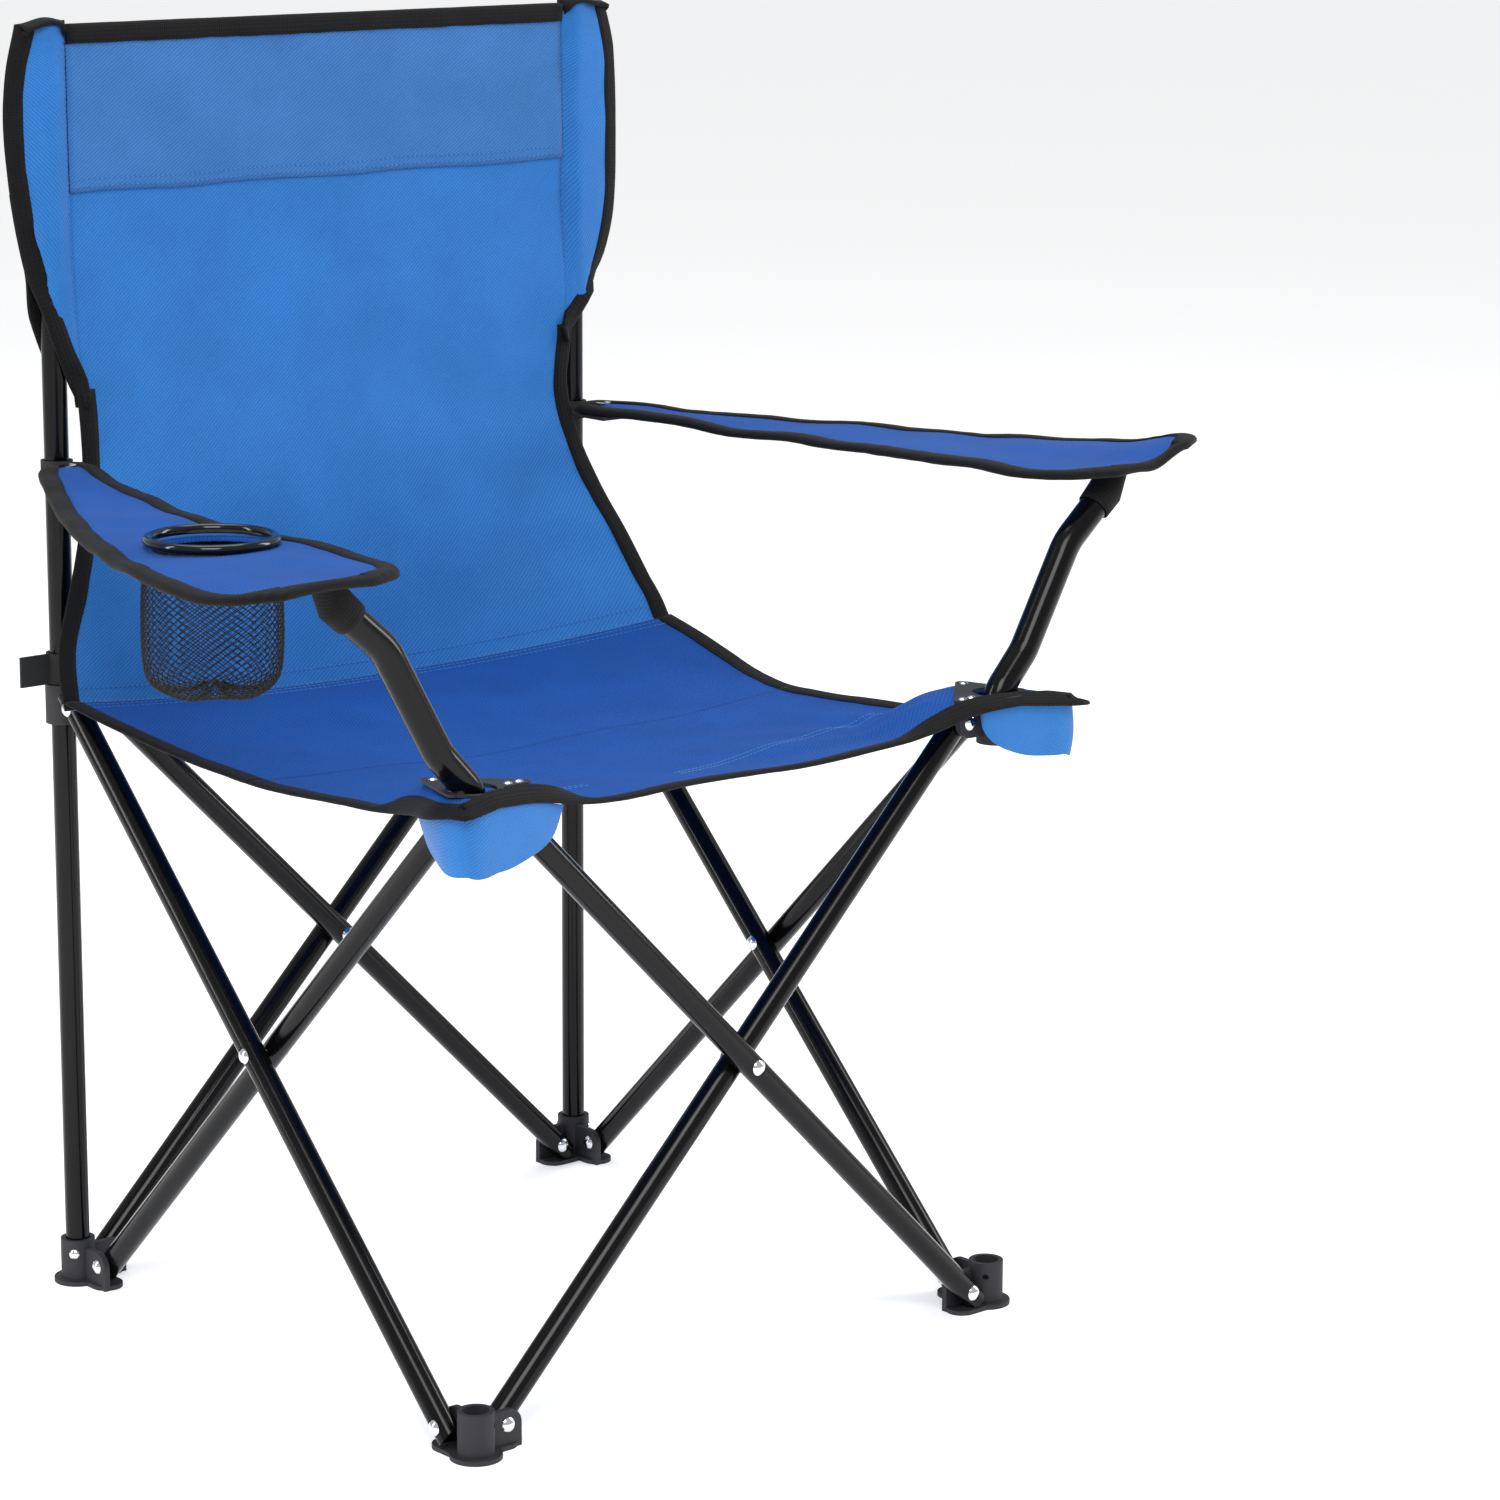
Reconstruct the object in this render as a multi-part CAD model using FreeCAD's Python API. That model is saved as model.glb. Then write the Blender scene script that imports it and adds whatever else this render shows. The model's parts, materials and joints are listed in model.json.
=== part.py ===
"""Folding camp chair: four scissor pairs round a square, two rear uprights, two arm posts and a slung seat.

Frame: millimetres, +Z up, the chair faces -Y, the floor is Z = 0 and the origin is the middle of the
base of the whole chair's box.  The four faces are numbered anticlockwise from above: front, right,
rear and left.  Corner k lies between face k and face k + 1.  Each piece that repeats is drawn once
at the front face or the front right corner, and is turned about Z in quarter turns.

Each face has an outer tube, which falls from the face's left corner to its right corner as seen from
outside, and an inner tube, which rises from the left corner to the right one.
"""
import FreeCAD, Part
import math
import os

# Overall sizes
CORNER_SPACING = 430.0        # between the corner axes, both ways
SEAT_PIVOT_HEIGHT = 397.0
UPRIGHT_TOP = 832.0
ARM_RISE = 154.0              # underside of the arm rests at the rear, above the seat pivots

HALF = CORNER_SPACING / 2.0
ARM_HEIGHT = SEAT_PIVOT_HEIGHT + ARM_RISE

# Frame tubes
TUBE_RADIUS = 8.0
TUBE_WALL = 1.2
TUBE_END = TUBE_RADIUS + 3.0  # reach of a rounded tube end past its rivet
TUBE_GAP = 0.5                # between the outer and the inner tube of a face
PLANE_INSET = 2.0             # inner sides of the outer tubes, inwards of the corner axes
OUTER_PLANE = TUBE_RADIUS - PLANE_INSET       # outer tubes' axes, outwards from the corner axes
INNER_PLANE = -TUBE_RADIUS - PLANE_INSET - TUBE_GAP

# Rivets
RIVET_RADIUS = 2.45
RIVET_HOLE = RIVET_RADIUS + 0.05
HEAD_RADIUS = 5.0
HEAD_HEIGHT = 2.4
HEAD_GAP = 0.1
DIMPLE_RADIUS = HEAD_RADIUS + 0.4
DIMPLE_DEPTH = 0.6

# Plastic feet, sliders and hubs
LUG_THICKNESS = 4.0
LUG_RADIUS = 10.0
LUG_GAP = 0.2
SOCKET_RADIUS = TUBE_RADIUS + 0.2
SOCKET_WALL = 3.2
FOOT_HEIGHT = 30.0
FOOT_BASE = 3.0
FOOT_PIVOT_HEIGHT = FOOT_BASE + TUBE_END + 1.0
FLANGE_RADIUS = TUBE_RADIUS + 2.5
PIN_RADIUS = 2.0
PIN_HOLE = PIN_RADIUS + 0.05
PIN_HEIGHT = FOOT_PIVOT_HEIGHT + 6.0
SLIDER_RADIUS = TUBE_RADIUS + 0.3
SLIDER_WALL = 3.2
SLIDER_BELOW = 14.0
SLIDER_ABOVE = 12.0
HUB_WALL = 2.8
HUB_BELOW = 16.0
HUB_ABOVE = 6.0               # no higher than where the arm post starts to bend
HUB_FLOOR = 2.0

# Arm posts: bend points as (outwards from the corner axis, height) with a bend radius each
POST_RADIUS = 9.5
POST_CLEARANCE = 0.1
POST_WALL = 1.3
POST_POINTS = [(0.0, SEAT_PIVOT_HEIGHT - HUB_BELOW + HUB_FLOOR), (0.0, SEAT_PIVOT_HEIGHT + 15.0),
               (24.0, SEAT_PIVOT_HEIGHT + 41.0), (62.0, SEAT_PIVOT_HEIGHT + 108.0),
               (97.0, SEAT_PIVOT_HEIGHT + 138.0)]
POST_BENDS = [22.0, 40.0, 40.0]
CAP_THICKNESS = 2.5
PLUG_LENGTH = 12.0
PLUG_GAP = 0.05

# From a corner axis to the rivets of its two faces: the tube ends clear the foot and the hub
CORNER_GAP = 0.6
PIVOT_INSET = TUBE_END + CORNER_GAP + max(SOCKET_RADIUS + SOCKET_WALL + 1.0,
                                          POST_RADIUS + POST_CLEARANCE + HUB_WALL)

# Corner plates where the arm posts pass through the seat
PLATE_THICKNESS = 1.5
PLATE_HOLE = POST_RADIUS + 5.8
PLATE_RISE = 15.6             # underside above the seat pivots
PLATE_REACH = 35.0            # centres of its far corners, from the corner axis
PLATE_CORNER = 5.0
PLATE_OUT = 16.0              # centre of its outer corner, outwards and forwards of the corner axis
PLATE_EDGE = 4.0
PLATE_RIVET_RADIUS = 3.0
PLATE_RIVET_HEIGHT = 1.2

# Fabric
CLOTH = 2.0
SEAT_DROP = 24.0              # the middle of the seat hangs this far below the seat pivots
BOWL_SIDE = 8.0               # rise of the bowl from its middle to the sides, and to front and rear
BOWL_FRONT = 18.0
RISE_START = 69.0             # the seat climbs onto the corner pieces between these distances inwards
RISE_END = 37.0               # of the corner axes
SEAT_SPLIT = -6.0             # the two seat halves meet here, and crease when the chair folds
SEAT_EDGE_CURVE = 22.0        # the front edge draws in this much at its middle
SEAM_GAP = 0.4
POST_HOLE = PLATE_HOLE + 0.5
SLEEVE_BOTTOM = UPRIGHT_TOP - 0.612 * (UPRIGHT_TOP - ARM_HEIGHT)
SLEEVE_TOP = UPRIGHT_TOP + 8.0
SLEEVE_WALL = 1.5
SLEEVE_DEPTH = TUBE_RADIUS + SLEEVE_WALL + 2.0
SLEEVE_INSIDE = SLEEVE_DEPTH + 0.5            # from the upright's axis towards the middle of the back
SLEEVE_OUTSIDE = 22.0

# Arm rests
ARM_THICKNESS = 4.0
ARM_SAG = 7.0
LOOP_RADIUS = TUBE_RADIUS + 0.4
LOOP_WALL = 2.0
LOOP_HEIGHT = 12.0
STRAP_WIDTH = 20.0
STRAP_TAB = 32.0              # outer end of a corner strap, from the corner axis
TONGUE_REACH = 47.0           # front end of an arm loop's tongue, forwards of the corner axis
# stations of an arm from rear to front: place along Y, inner and outer edge outwards of the corner axes
ARM_STATIONS = [(0.93 * HALF, -12.0, 32.0), (0.605 * HALF, 7.0, 61.0), (0.298 * HALF, 23.0, 95.0),
                (0.0, 34.0, 125.0), (-0.298 * HALF, 39.0, 151.0), (-0.605 * HALF, 40.0, 173.0),
                (-0.884 * HALF, 44.0, 181.0), (-HALF - 10.0, 55.0, 171.0), (-HALF - 23.0, 75.0, 147.0)]
EYELET_RADIUS = 5.5
EYELET_HOLE = 2.5
EYELET_THICKNESS = 1.4
EYELET_OUT = 8.0              # outwards and forwards of the corner axis
EYELET_FORWARD = 25.0
EYELET_LIFT = 0.5

# Cup holder in the left arm
CUP_X = HALF + 92.0
CUP_Y = -0.414 * HALF
CUP_RADIUS = 37.0
CUP_SECTION = 3.0
CUP_GAP = 1.7                 # ring above and net below the middle of the sloping arm rest
NET_DEPTH = 84.0
NET_WALL = 1.2
NET_BOTTOM = 33.0

# Corner pockets and straps
POCKET_DEPTH = 44.0
POCKET_WALL = 2.0
POCKET_OUT = 50.0
POCKET_IN = 62.0
POCKET_RETURN = 30.0          # rear edge of a side flap, behind the corner axis
POCKET_STAND_LEFT = 3.0       # clear of the outer tubes; the two pockets pass each other in the fold
POCKET_STAND_RIGHT = 10.0

# Side edges of the seat: place along Y, and distance outwards from the corner axes
SEAT_LEFT_EDGE = [(-HALF - 23.0, 23.0), (-HALF + 33.0, 8.0), (HALF - 115.0, 10.0), (HALF - 37.0, 21.0)]
SEAT_RIGHT_EDGE = [(-HALF - 23.0, 50.0), (-HALF + 45.0, 13.0), (-0.28 * HALF, 9.0), (0.0, 11.0),
                   (0.247 * HALF, 21.0), (HALF - 111.0, 29.0), (HALF - 65.0, 35.0)]

# Rows of the back from the seat seam upwards.  Each gives its height and then, for the left edge, the
# middle and the right edge, the distance forward of the uprights' axes; the edges also give the
# distance outwards from those axes.
SEAM_ROW = ((21.0, 37.0, SEAT_PIVOT_HEIGHT + 6.0), (33.0, SEAT_PIVOT_HEIGHT - 9.0),
            (35.0, 65.0, SEAT_PIVOT_HEIGHT + 8.0))
WAIST = SLEEVE_BOTTOM - SEAT_PIVOT_HEIGHT
IN_SLEEVE = -SLEEVE_INSIDE - 0.5
BACK_ROWS = [(SEAT_PIVOT_HEIGHT + 0.144 * WAIST, 25.0, 25.0, 28.0, 25.0, 43.0),
             (SEAT_PIVOT_HEIGHT + 0.266 * WAIST, -10.0, 21.0, 25.0, 14.0, 26.0),
             (SEAT_PIVOT_HEIGHT + 0.411 * WAIST, -25.0, 21.0, 23.0, 4.0, 21.0),
             (SEAT_PIVOT_HEIGHT + 0.563 * WAIST, -27.0, 21.0, 22.0, -14.5, 20.0),
             (SEAT_PIVOT_HEIGHT + 0.677 * WAIST, -24.0, 18.0, 18.0, -14.5, 16.0),
             (SEAT_PIVOT_HEIGHT + 0.817 * WAIST, -14.0, 12.0, 11.0, -9.0, 12.0),
             (SLEEVE_BOTTOM - 4.0, 12.0, 12.0, 7.0, 18.0, 12.0),
             (SLEEVE_BOTTOM, IN_SLEEVE, 8.0, 6.0, IN_SLEEVE, 8.0),
             (SLEEVE_BOTTOM + 0.17 * (SLEEVE_TOP - SLEEVE_BOTTOM), IN_SLEEVE, 2.0, 3.0, IN_SLEEVE, 2.0),
             (SLEEVE_BOTTOM + 0.55 * (SLEEVE_TOP - SLEEVE_BOTTOM), IN_SLEEVE, 2.0, 0.0, IN_SLEEVE, 2.0),
             (SLEEVE_TOP - 4.0, IN_SLEEVE, 2.0, 2.0, IN_SLEEVE, 2.0)]

SPAN = CORNER_SPACING - 2.0 * PIVOT_INSET
RISE = SEAT_PIVOT_HEIGHT - FOOT_PIVOT_HEIGHT
TUBE_LENGTH = math.hypot(SPAN, RISE)
TUBE_ANGLE = math.degrees(math.atan2(RISE, SPAN))
FACES = ["front", "right", "rear", "left"]
CORNERS = ["front_right", "rear_right", "rear_left", "front_left"]
V = FreeCAD.Vector
UP = V(0, 0, 1)

# The corner pockets reach further forward than the feet reach back, so the box's middle is forward of
# the corner axes' middle by this much.
FRONT_REACH = HALF + OUTER_PLANE + TUBE_RADIUS + POCKET_STAND_RIGHT + POCKET_WALL
REAR_REACH = HALF + SOCKET_RADIUS + 2.5 * SOCKET_WALL
BOX_SHIFT = (FRONT_REACH - REAR_REACH) / 2.0

# Lug positions, outwards from the corner axes: inside an outer tube, or outside an inner tube
OUTER_LUG = (OUTER_PLANE - TUBE_RADIUS - LUG_GAP - LUG_THICKNESS, OUTER_PLANE - TUBE_RADIUS - LUG_GAP)
INNER_LUG = (INNER_PLANE + TUBE_RADIUS + LUG_GAP, INNER_PLANE + TUBE_RADIUS + LUG_GAP + LUG_THICKNESS)
OUTER_SEAT = OUTER_PLANE + TUBE_RADIUS - DIMPLE_DEPTH + HEAD_GAP
INNER_SEAT = INNER_PLANE - TUBE_RADIUS + DIMPLE_DEPTH - HEAD_GAP


def export(shape, name):
    """Write one sub-part, moved so that the origin is in the middle of the chair's box."""
    if not shape.isValid() or shape.Volume <= 0:
        raise ValueError("bad shape: " + name)
    placed = shape.copy()
    placed.translate(V(0, BOX_SHIFT, 0))
    placed.exportStep("parts/" + name + ".step")


def quarter(shape, turns):
    """Copy a shape and turn it about Z by quarter turns."""
    turned = shape.copy()
    turned.rotate(V(0, 0, 0), UP, 90.0 * turns)
    return turned


def mirrored(shape):
    """Copy a shape to the other side of the chair."""
    return shape.mirror(V(0, 0, 0), V(1, 0, 0))


def rod(radius, start, end):
    """Solid cylinder between two points."""
    run = end - start
    return Part.makeCylinder(radius, run.Length, start, run)


def box(low, high):
    """Axis-aligned box between two corners."""
    size = [b - a for a, b in zip(low, high)]
    return Part.makeBox(size[0], size[1], size[2], V(*low))


def cross_tube(dimple_side):
    """Cross tube in its own frame: rivet line along X from the lower rivet, rivet axes along Y."""
    start, end = V(-TUBE_END, 0, 0), V(TUBE_LENGTH + TUBE_END, 0, 0)
    reach = 2.0 * TUBE_RADIUS
    outline = box((0, -reach, -TUBE_END), (TUBE_LENGTH, reach, TUBE_END))
    for x in (0.0, TUBE_LENGTH):
        outline = outline.fuse(rod(TUBE_END, V(x, -reach, 0), V(x, reach, 0)))
    tube = rod(TUBE_RADIUS, start, end).cut(rod(TUBE_RADIUS - TUBE_WALL, start, end)).common(outline)
    floor = TUBE_RADIUS - DIMPLE_DEPTH
    for x in (0.0, TUBE_LENGTH / 2.0, TUBE_LENGTH):
        tube = tube.cut(rod(RIVET_HOLE, V(x, -reach, 0), V(x, reach, 0)))
        tube = tube.cut(rod(DIMPLE_RADIUS, V(x, dimple_side * floor, 0), V(x, dimple_side * reach, 0)))
    return tube


def outer_tube():
    """Front face's outer tube, from the right foot up to the left hub."""
    tube = cross_tube(-1.0)
    tube.rotate(V(0, 0, 0), V(0, 1, 0), -(180.0 - TUBE_ANGLE))
    tube.translate(V(HALF - PIVOT_INSET, -(HALF + OUTER_PLANE), FOOT_PIVOT_HEIGHT))
    return tube


def inner_tube():
    """Front face's inner tube, from the left foot up to the right hub."""
    tube = cross_tube(1.0)
    tube.rotate(V(0, 0, 0), V(0, 1, 0), -TUBE_ANGLE)
    tube.translate(V(-(HALF - PIVOT_INSET), -(HALF + INNER_PLANE), FOOT_PIVOT_HEIGHT))
    return tube


def dome(base, direction, radius, height):
    """Rivet head: a spherical cap that stands on its base point."""
    sphere = (radius ** 2 + height ** 2) / (2.0 * height)
    latitude = math.degrees(math.asin((sphere - height) / sphere))
    centre = base - direction * (sphere - height)
    return Part.makeSphere(sphere, centre, direction, latitude, 90, 360)


def rivet(first, second, radius=RIVET_RADIUS, head=HEAD_RADIUS, height=HEAD_HEIGHT):
    """Rivet with a shank between two head seats and a dome head beyond each."""
    run = second - first
    run.normalize()
    shank = rod(radius, first, second)
    return shank.fuse(dome(second, run, head, height)).fuse(dome(first, run * -1, head, height))


def front_rivet(x, z, low, high):
    """Rivet through the front face at x, z, between two distances outwards from the corner axes."""
    return rivet(V(x, -(HALF + low), z), V(x, -(HALF + high), z))


def side_rivet(y, z, low, high):
    """The same through the right face."""
    return rivet(V(HALF + low, y, z), V(HALF + high, y, z))


def front_lug(band, z):
    """Lug in the front face, from the front right corner axis to its rivet."""
    low_y, high_y = -(HALF + band[1]), -(HALF + band[0])
    pivot = HALF - PIVOT_INSET
    bar = box((pivot, low_y, z - LUG_RADIUS), (HALF, high_y, z + LUG_RADIUS))
    return bar.fuse(rod(LUG_RADIUS, V(pivot, low_y, z), V(pivot, high_y, z)))


def side_lug(band, z):
    """Lug in the right face, from the front right corner axis to its rivet."""
    low_x, high_x = HALF + band[0], HALF + band[1]
    pivot = -(HALF - PIVOT_INSET)
    bar = box((low_x, -HALF, z - LUG_RADIUS), (high_x, pivot, z + LUG_RADIUS))
    return bar.fuse(rod(LUG_RADIUS, V(low_x, pivot, z), V(high_x, pivot, z)))


def rivet_holes(front_z, side_z):
    """Cutters for the two rivet holes of a corner piece."""
    reach = 3.0 * TUBE_RADIUS
    pivot = HALF - PIVOT_INSET
    front = rod(RIVET_HOLE, V(pivot, -HALF - reach, front_z), V(pivot, -HALF + reach, front_z))
    return front.fuse(rod(RIVET_HOLE, V(HALF - reach, -pivot, side_z), V(HALF + reach, -pivot, side_z)))


def corner_axis(low, high, radius):
    """Cylinder on the front right corner axis."""
    return rod(radius, V(HALF, -HALF, low), V(HALF, -HALF, high))


def pin_line(reach):
    """Two points on the level line that pins an upright in its foot."""
    step = V(reach, reach, 0)
    centre = V(HALF, -HALF, PIN_HEIGHT)
    return centre - step, centre + step


def foot():
    """Moulded foot at the front right corner: upright socket, two lugs and a base flange."""
    z = FOOT_PIVOT_HEIGHT
    tip = HALF - PIVOT_INSET
    body = corner_axis(0, FOOT_HEIGHT, SOCKET_RADIUS + SOCKET_WALL)
    body = body.fuse(front_lug(OUTER_LUG, z)).fuse(side_lug(INNER_LUG, z))
    # webs that carry the lugs down to the flange
    body = body.fuse(box((tip - LUG_RADIUS, -(HALF + OUTER_LUG[1]), 0), (HALF, -(HALF + OUTER_LUG[0]), z)))
    body = body.fuse(box((HALF + INNER_LUG[0], -HALF, 0), (HALF + INNER_LUG[1], -(tip - LUG_RADIUS), z)))
    # flange under each tube end, and a round one under the socket
    front_mid = -(HALF + OUTER_PLANE - TUBE_RADIUS / 2.0)
    side_mid = HALF + INNER_PLANE + TUBE_RADIUS / 2.0
    body = body.fuse(box((tip, front_mid - FLANGE_RADIUS, 0), (HALF, front_mid + FLANGE_RADIUS, FOOT_BASE)))
    body = body.fuse(rod(FLANGE_RADIUS, V(tip, front_mid, 0), V(tip, front_mid, FOOT_BASE)))
    body = body.fuse(box((side_mid - FLANGE_RADIUS, -HALF, 0), (side_mid + FLANGE_RADIUS, -tip, FOOT_BASE)))
    body = body.fuse(rod(FLANGE_RADIUS, V(side_mid, -tip, 0), V(side_mid, -tip, FOOT_BASE)))
    body = body.fuse(corner_axis(0, FOOT_BASE, SOCKET_RADIUS + 2.5 * SOCKET_WALL))
    body = body.cut(corner_axis(FOOT_BASE, FOOT_HEIGHT + 1, SOCKET_RADIUS))
    body = body.cut(rod(PIN_HOLE, *pin_line(2.0 * TUBE_RADIUS)))
    return body.cut(rivet_holes(z, z)).removeSplitter()


def foot_rivets(pinned):
    """Two tube rivets of a foot, and the pin of an upright where one stands in it."""
    tip = HALF - PIVOT_INSET
    group = [front_rivet(tip, FOOT_PIVOT_HEIGHT, OUTER_LUG[0], OUTER_SEAT),
             side_rivet(-tip, FOOT_PIVOT_HEIGHT, INNER_SEAT, INNER_LUG[1])]
    if pinned:
        reach = (SOCKET_RADIUS + SOCKET_WALL) / math.sqrt(2.0)
        first, second = pin_line(reach)
        group.append(rivet(first, second, PIN_RADIUS, 1.8 * PIN_RADIUS, 0.8 * PIN_RADIUS))
    return Part.makeCompound(group)


def slider():
    """Sliding collar, drawn at the front right corner and turned to the rear ones."""
    z = SEAT_PIVOT_HEIGHT
    body = corner_axis(z - SLIDER_BELOW, z + SLIDER_ABOVE, SLIDER_RADIUS + SLIDER_WALL)
    body = body.fuse(front_lug(INNER_LUG, z)).fuse(side_lug(OUTER_LUG, z))
    body = body.cut(corner_axis(z - SLIDER_BELOW - 1, z + SLIDER_ABOVE + 1, SLIDER_RADIUS))
    return body.cut(rivet_holes(z, z)).removeSplitter()


def hub():
    """Front hub: a cup that holds an arm post, with the two lugs of a top corner."""
    z = SEAT_PIVOT_HEIGHT
    bore = POST_RADIUS + POST_CLEARANCE
    body = corner_axis(z - HUB_BELOW, z + HUB_ABOVE, bore + HUB_WALL)
    body = body.fuse(front_lug(INNER_LUG, z)).fuse(side_lug(OUTER_LUG, z))
    body = body.cut(corner_axis(z - HUB_BELOW + HUB_FLOOR, z + max(HUB_ABOVE, LUG_RADIUS) + 1, bore))
    return body.cut(rivet_holes(z, z)).removeSplitter()


def top_rivets():
    """Two tube rivets of a slider or a front hub."""
    tip = HALF - PIVOT_INSET
    return Part.makeCompound([front_rivet(tip, SEAT_PIVOT_HEIGHT, INNER_SEAT, INNER_LUG[1]),
                              side_rivet(-tip, SEAT_PIVOT_HEIGHT, OUTER_LUG[0], OUTER_SEAT)])


def upright():
    """Rear upright tube, drawn at the front right corner and turned to the rear ones."""
    tube = corner_axis(FOOT_BASE, UPRIGHT_TOP, TUBE_RADIUS)
    tube = tube.cut(corner_axis(FOOT_BASE, UPRIGHT_TOP, TUBE_RADIUS - TUBE_WALL))
    return tube.cut(rod(PIN_HOLE, *pin_line(2.0 * TUBE_RADIUS)))


def upright_cap():
    """Plug in the top end of an upright."""
    inside = TUBE_RADIUS - TUBE_WALL - PLUG_GAP
    plug = corner_axis(UPRIGHT_TOP - PLUG_LENGTH, UPRIGHT_TOP + CAP_THICKNESS, inside)
    return plug.fuse(corner_axis(UPRIGHT_TOP, UPRIGHT_TOP + CAP_THICKNESS, TUBE_RADIUS))


def post_path():
    """Centre line of the right arm post: straight runs joined by arcs."""
    points = [V(HALF + out, -HALF, z) for out, z in POST_POINTS]
    edges = []
    start = points[0]
    for before, corner, after, bend in zip(points, points[1:], points[2:], POST_BENDS):
        inwards, outwards = (before - corner), (after - corner)
        inwards.normalize()
        outwards.normalize()
        turn = math.pi - inwards.getAngle(outwards)
        back = bend * math.tan(turn / 2.0)
        first, last = corner + inwards * back, corner + outwards * back
        bisector = inwards + outwards
        bisector.normalize()
        middle = corner + bisector * (bend / math.cos(turn / 2.0) - bend)
        edges.append(Part.makeLine(start, first))
        edges.append(Part.Arc(first, middle, last).toShape())
        start = last
    edges.append(Part.makeLine(start, points[-1]))
    return Part.Wire(edges), outwards


def pipe(path, radius):
    """Solid of a round section carried along a path that starts upwards."""
    section = Part.Wire(Part.makeCircle(radius, path.Vertexes[0].Point, UP))
    return path.makePipeShell([section], True, True)


def arm_post():
    """Right arm post: a bent tube that stands in the front hub and leans outwards."""
    path, direction = post_path()
    tube = pipe(path, POST_RADIUS).cut(pipe(path, POST_RADIUS - POST_WALL))
    return tube, path.Vertexes[-1].Point, direction


def post_cap(end, direction):
    """Plug with a low dome in the top end of an arm post."""
    plug = rod(POST_RADIUS - POST_WALL - PLUG_GAP, end - direction * PLUG_LENGTH, end)
    return plug.fuse(dome(end, direction, POST_RADIUS, CAP_THICKNESS))


def sheet(rows, lift):
    """Closed solid of a sheet: a grid of points and the vector from its lower to its upper side."""
    upper = [[point + lift for point in row] for row in rows]
    faces = []

    def triangle(a, b, c):
        faces.append(Part.Face(Part.makePolygon([a, b, c, a])))

    def patch(a, b, c, d):
        triangle(a, b, c)
        triangle(a, c, d)

    for layer in (rows, upper):
        for row, following in zip(layer, layer[1:]):
            for i in range(len(row) - 1):
                patch(row[i], row[i + 1], following[i + 1], following[i])
    left = ([row[0] for row in rows], [row[0] for row in upper])
    right = ([row[-1] for row in rows], [row[-1] for row in upper])
    for low, high in (left, right, (rows[0], upper[0]), (rows[-1], upper[-1])):
        for i in range(len(low) - 1):
            patch(low[i], low[i + 1], high[i + 1], high[i])
    shell = Part.makeShell(faces)
    shell.sewShape()
    solid = Part.Solid(shell)
    if solid.Volume < 0:
        solid.reverse()
    return solid


def ease(low, high, value):
    """Smooth step from 0 at low to 1 at high."""
    share = min(1.0, max(0.0, (value - low) / (high - low)))
    return share * share * (3.0 - 2.0 * share)


def seat_height(x, y):
    """Underside of the seat: a shallow bowl that rises over the four corner pieces."""
    side, end = min(abs(x) / HALF, 1.0), min(abs(y) / HALF, 1.0)
    bowl = SEAT_PIVOT_HEIGHT - SEAT_DROP + BOWL_SIDE * side ** 2 + BOWL_FRONT * end ** 2
    over = SEAT_PIVOT_HEIGHT + PLATE_RISE - CLOTH - SEAM_GAP
    climb = [ease(HALF - RISE_START, HALF - RISE_END, abs(place)) for place in (x, y)]
    return bowl + (over - bowl) * climb[0] * climb[1]


def along(edge, y):
    """Distance outwards of a seat edge at a place along Y, straight between its points."""
    if y <= edge[0][0]:
        return edge[0][1]
    for (low, first), (high, last) in zip(edge, edge[1:]):
        if y <= high:
            return first + (last - first) * (y - low) / (high - low)
    return edge[-1][1]


def through(first, middle, last, share):
    """Value on the curve through three evenly spaced values, for a share from -1 to 1."""
    return middle + (last - first) * share / 2.0 + ((first + last) / 2.0 - middle) * share * share


def seam_point(share):
    """Point of the seam between seat and back, from the left edge at -1 to the right edge at 1."""
    left, middle, right = SEAM_ROW
    x = through(-(HALF + left[0]), 0.0, HALF + right[0], share)
    y = HALF - through(left[1], middle[0], right[1], share)
    return V(x, y, through(left[2], middle[1], right[2], share))


SEAT_SHARES = [-1.0, -0.92, -0.84, -0.76, -0.66, -0.4, 0.0, 0.4, 0.66, 0.76, 0.84, 0.92, 1.0]


def seat_row(y, curve=0.0):
    """Row of seat points from the left edge to the right one, drawn in at the middle by a curve."""
    left, right = -(HALF + along(SEAT_LEFT_EDGE, y)), HALF + along(SEAT_RIGHT_EDGE, y)
    row = []
    for share in SEAT_SHARES:
        x = (left + right) / 2.0 + (right - left) / 2.0 * share
        place = y + curve * (1.0 - share * share)
        row.append(V(x, place, seat_height(x, place)))
    return row


def seat_front():
    """Front half of the seat, with a hole round each arm post."""
    front = seat_row(-HALF - 23.0, SEAT_EDGE_CURVE)
    places = [-HALF + 20.0, -HALF + RISE_END, -HALF + (RISE_START + RISE_END) / 2.0, -HALF + RISE_START,
              -0.42 * HALF, SEAT_SPLIT - SEAM_GAP / 2.0]
    panel = sheet([front] + [seat_row(y) for y in places], V(0, 0, CLOTH))
    for side in (-1.0, 1.0):
        panel = panel.cut(rod(POST_HOLE, V(side * HALF, -HALF, 0), V(side * HALF, -HALF, UPRIGHT_TOP)))
    return panel


def seat_rear():
    """Rear half of the seat, up to the seam with the back."""
    rows = [seat_row(y) for y in (SEAT_SPLIT + SEAM_GAP / 2.0, 0.28 * HALF, HALF - 111.0, HALF - 85.0)]
    seam = [seam_point(share) - V(0, 2.0 * CLOTH, CLOTH + SEAM_GAP) for share in SEAT_SHARES]
    return sheet(rows + [seam], V(0, 0, CLOTH))


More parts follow.
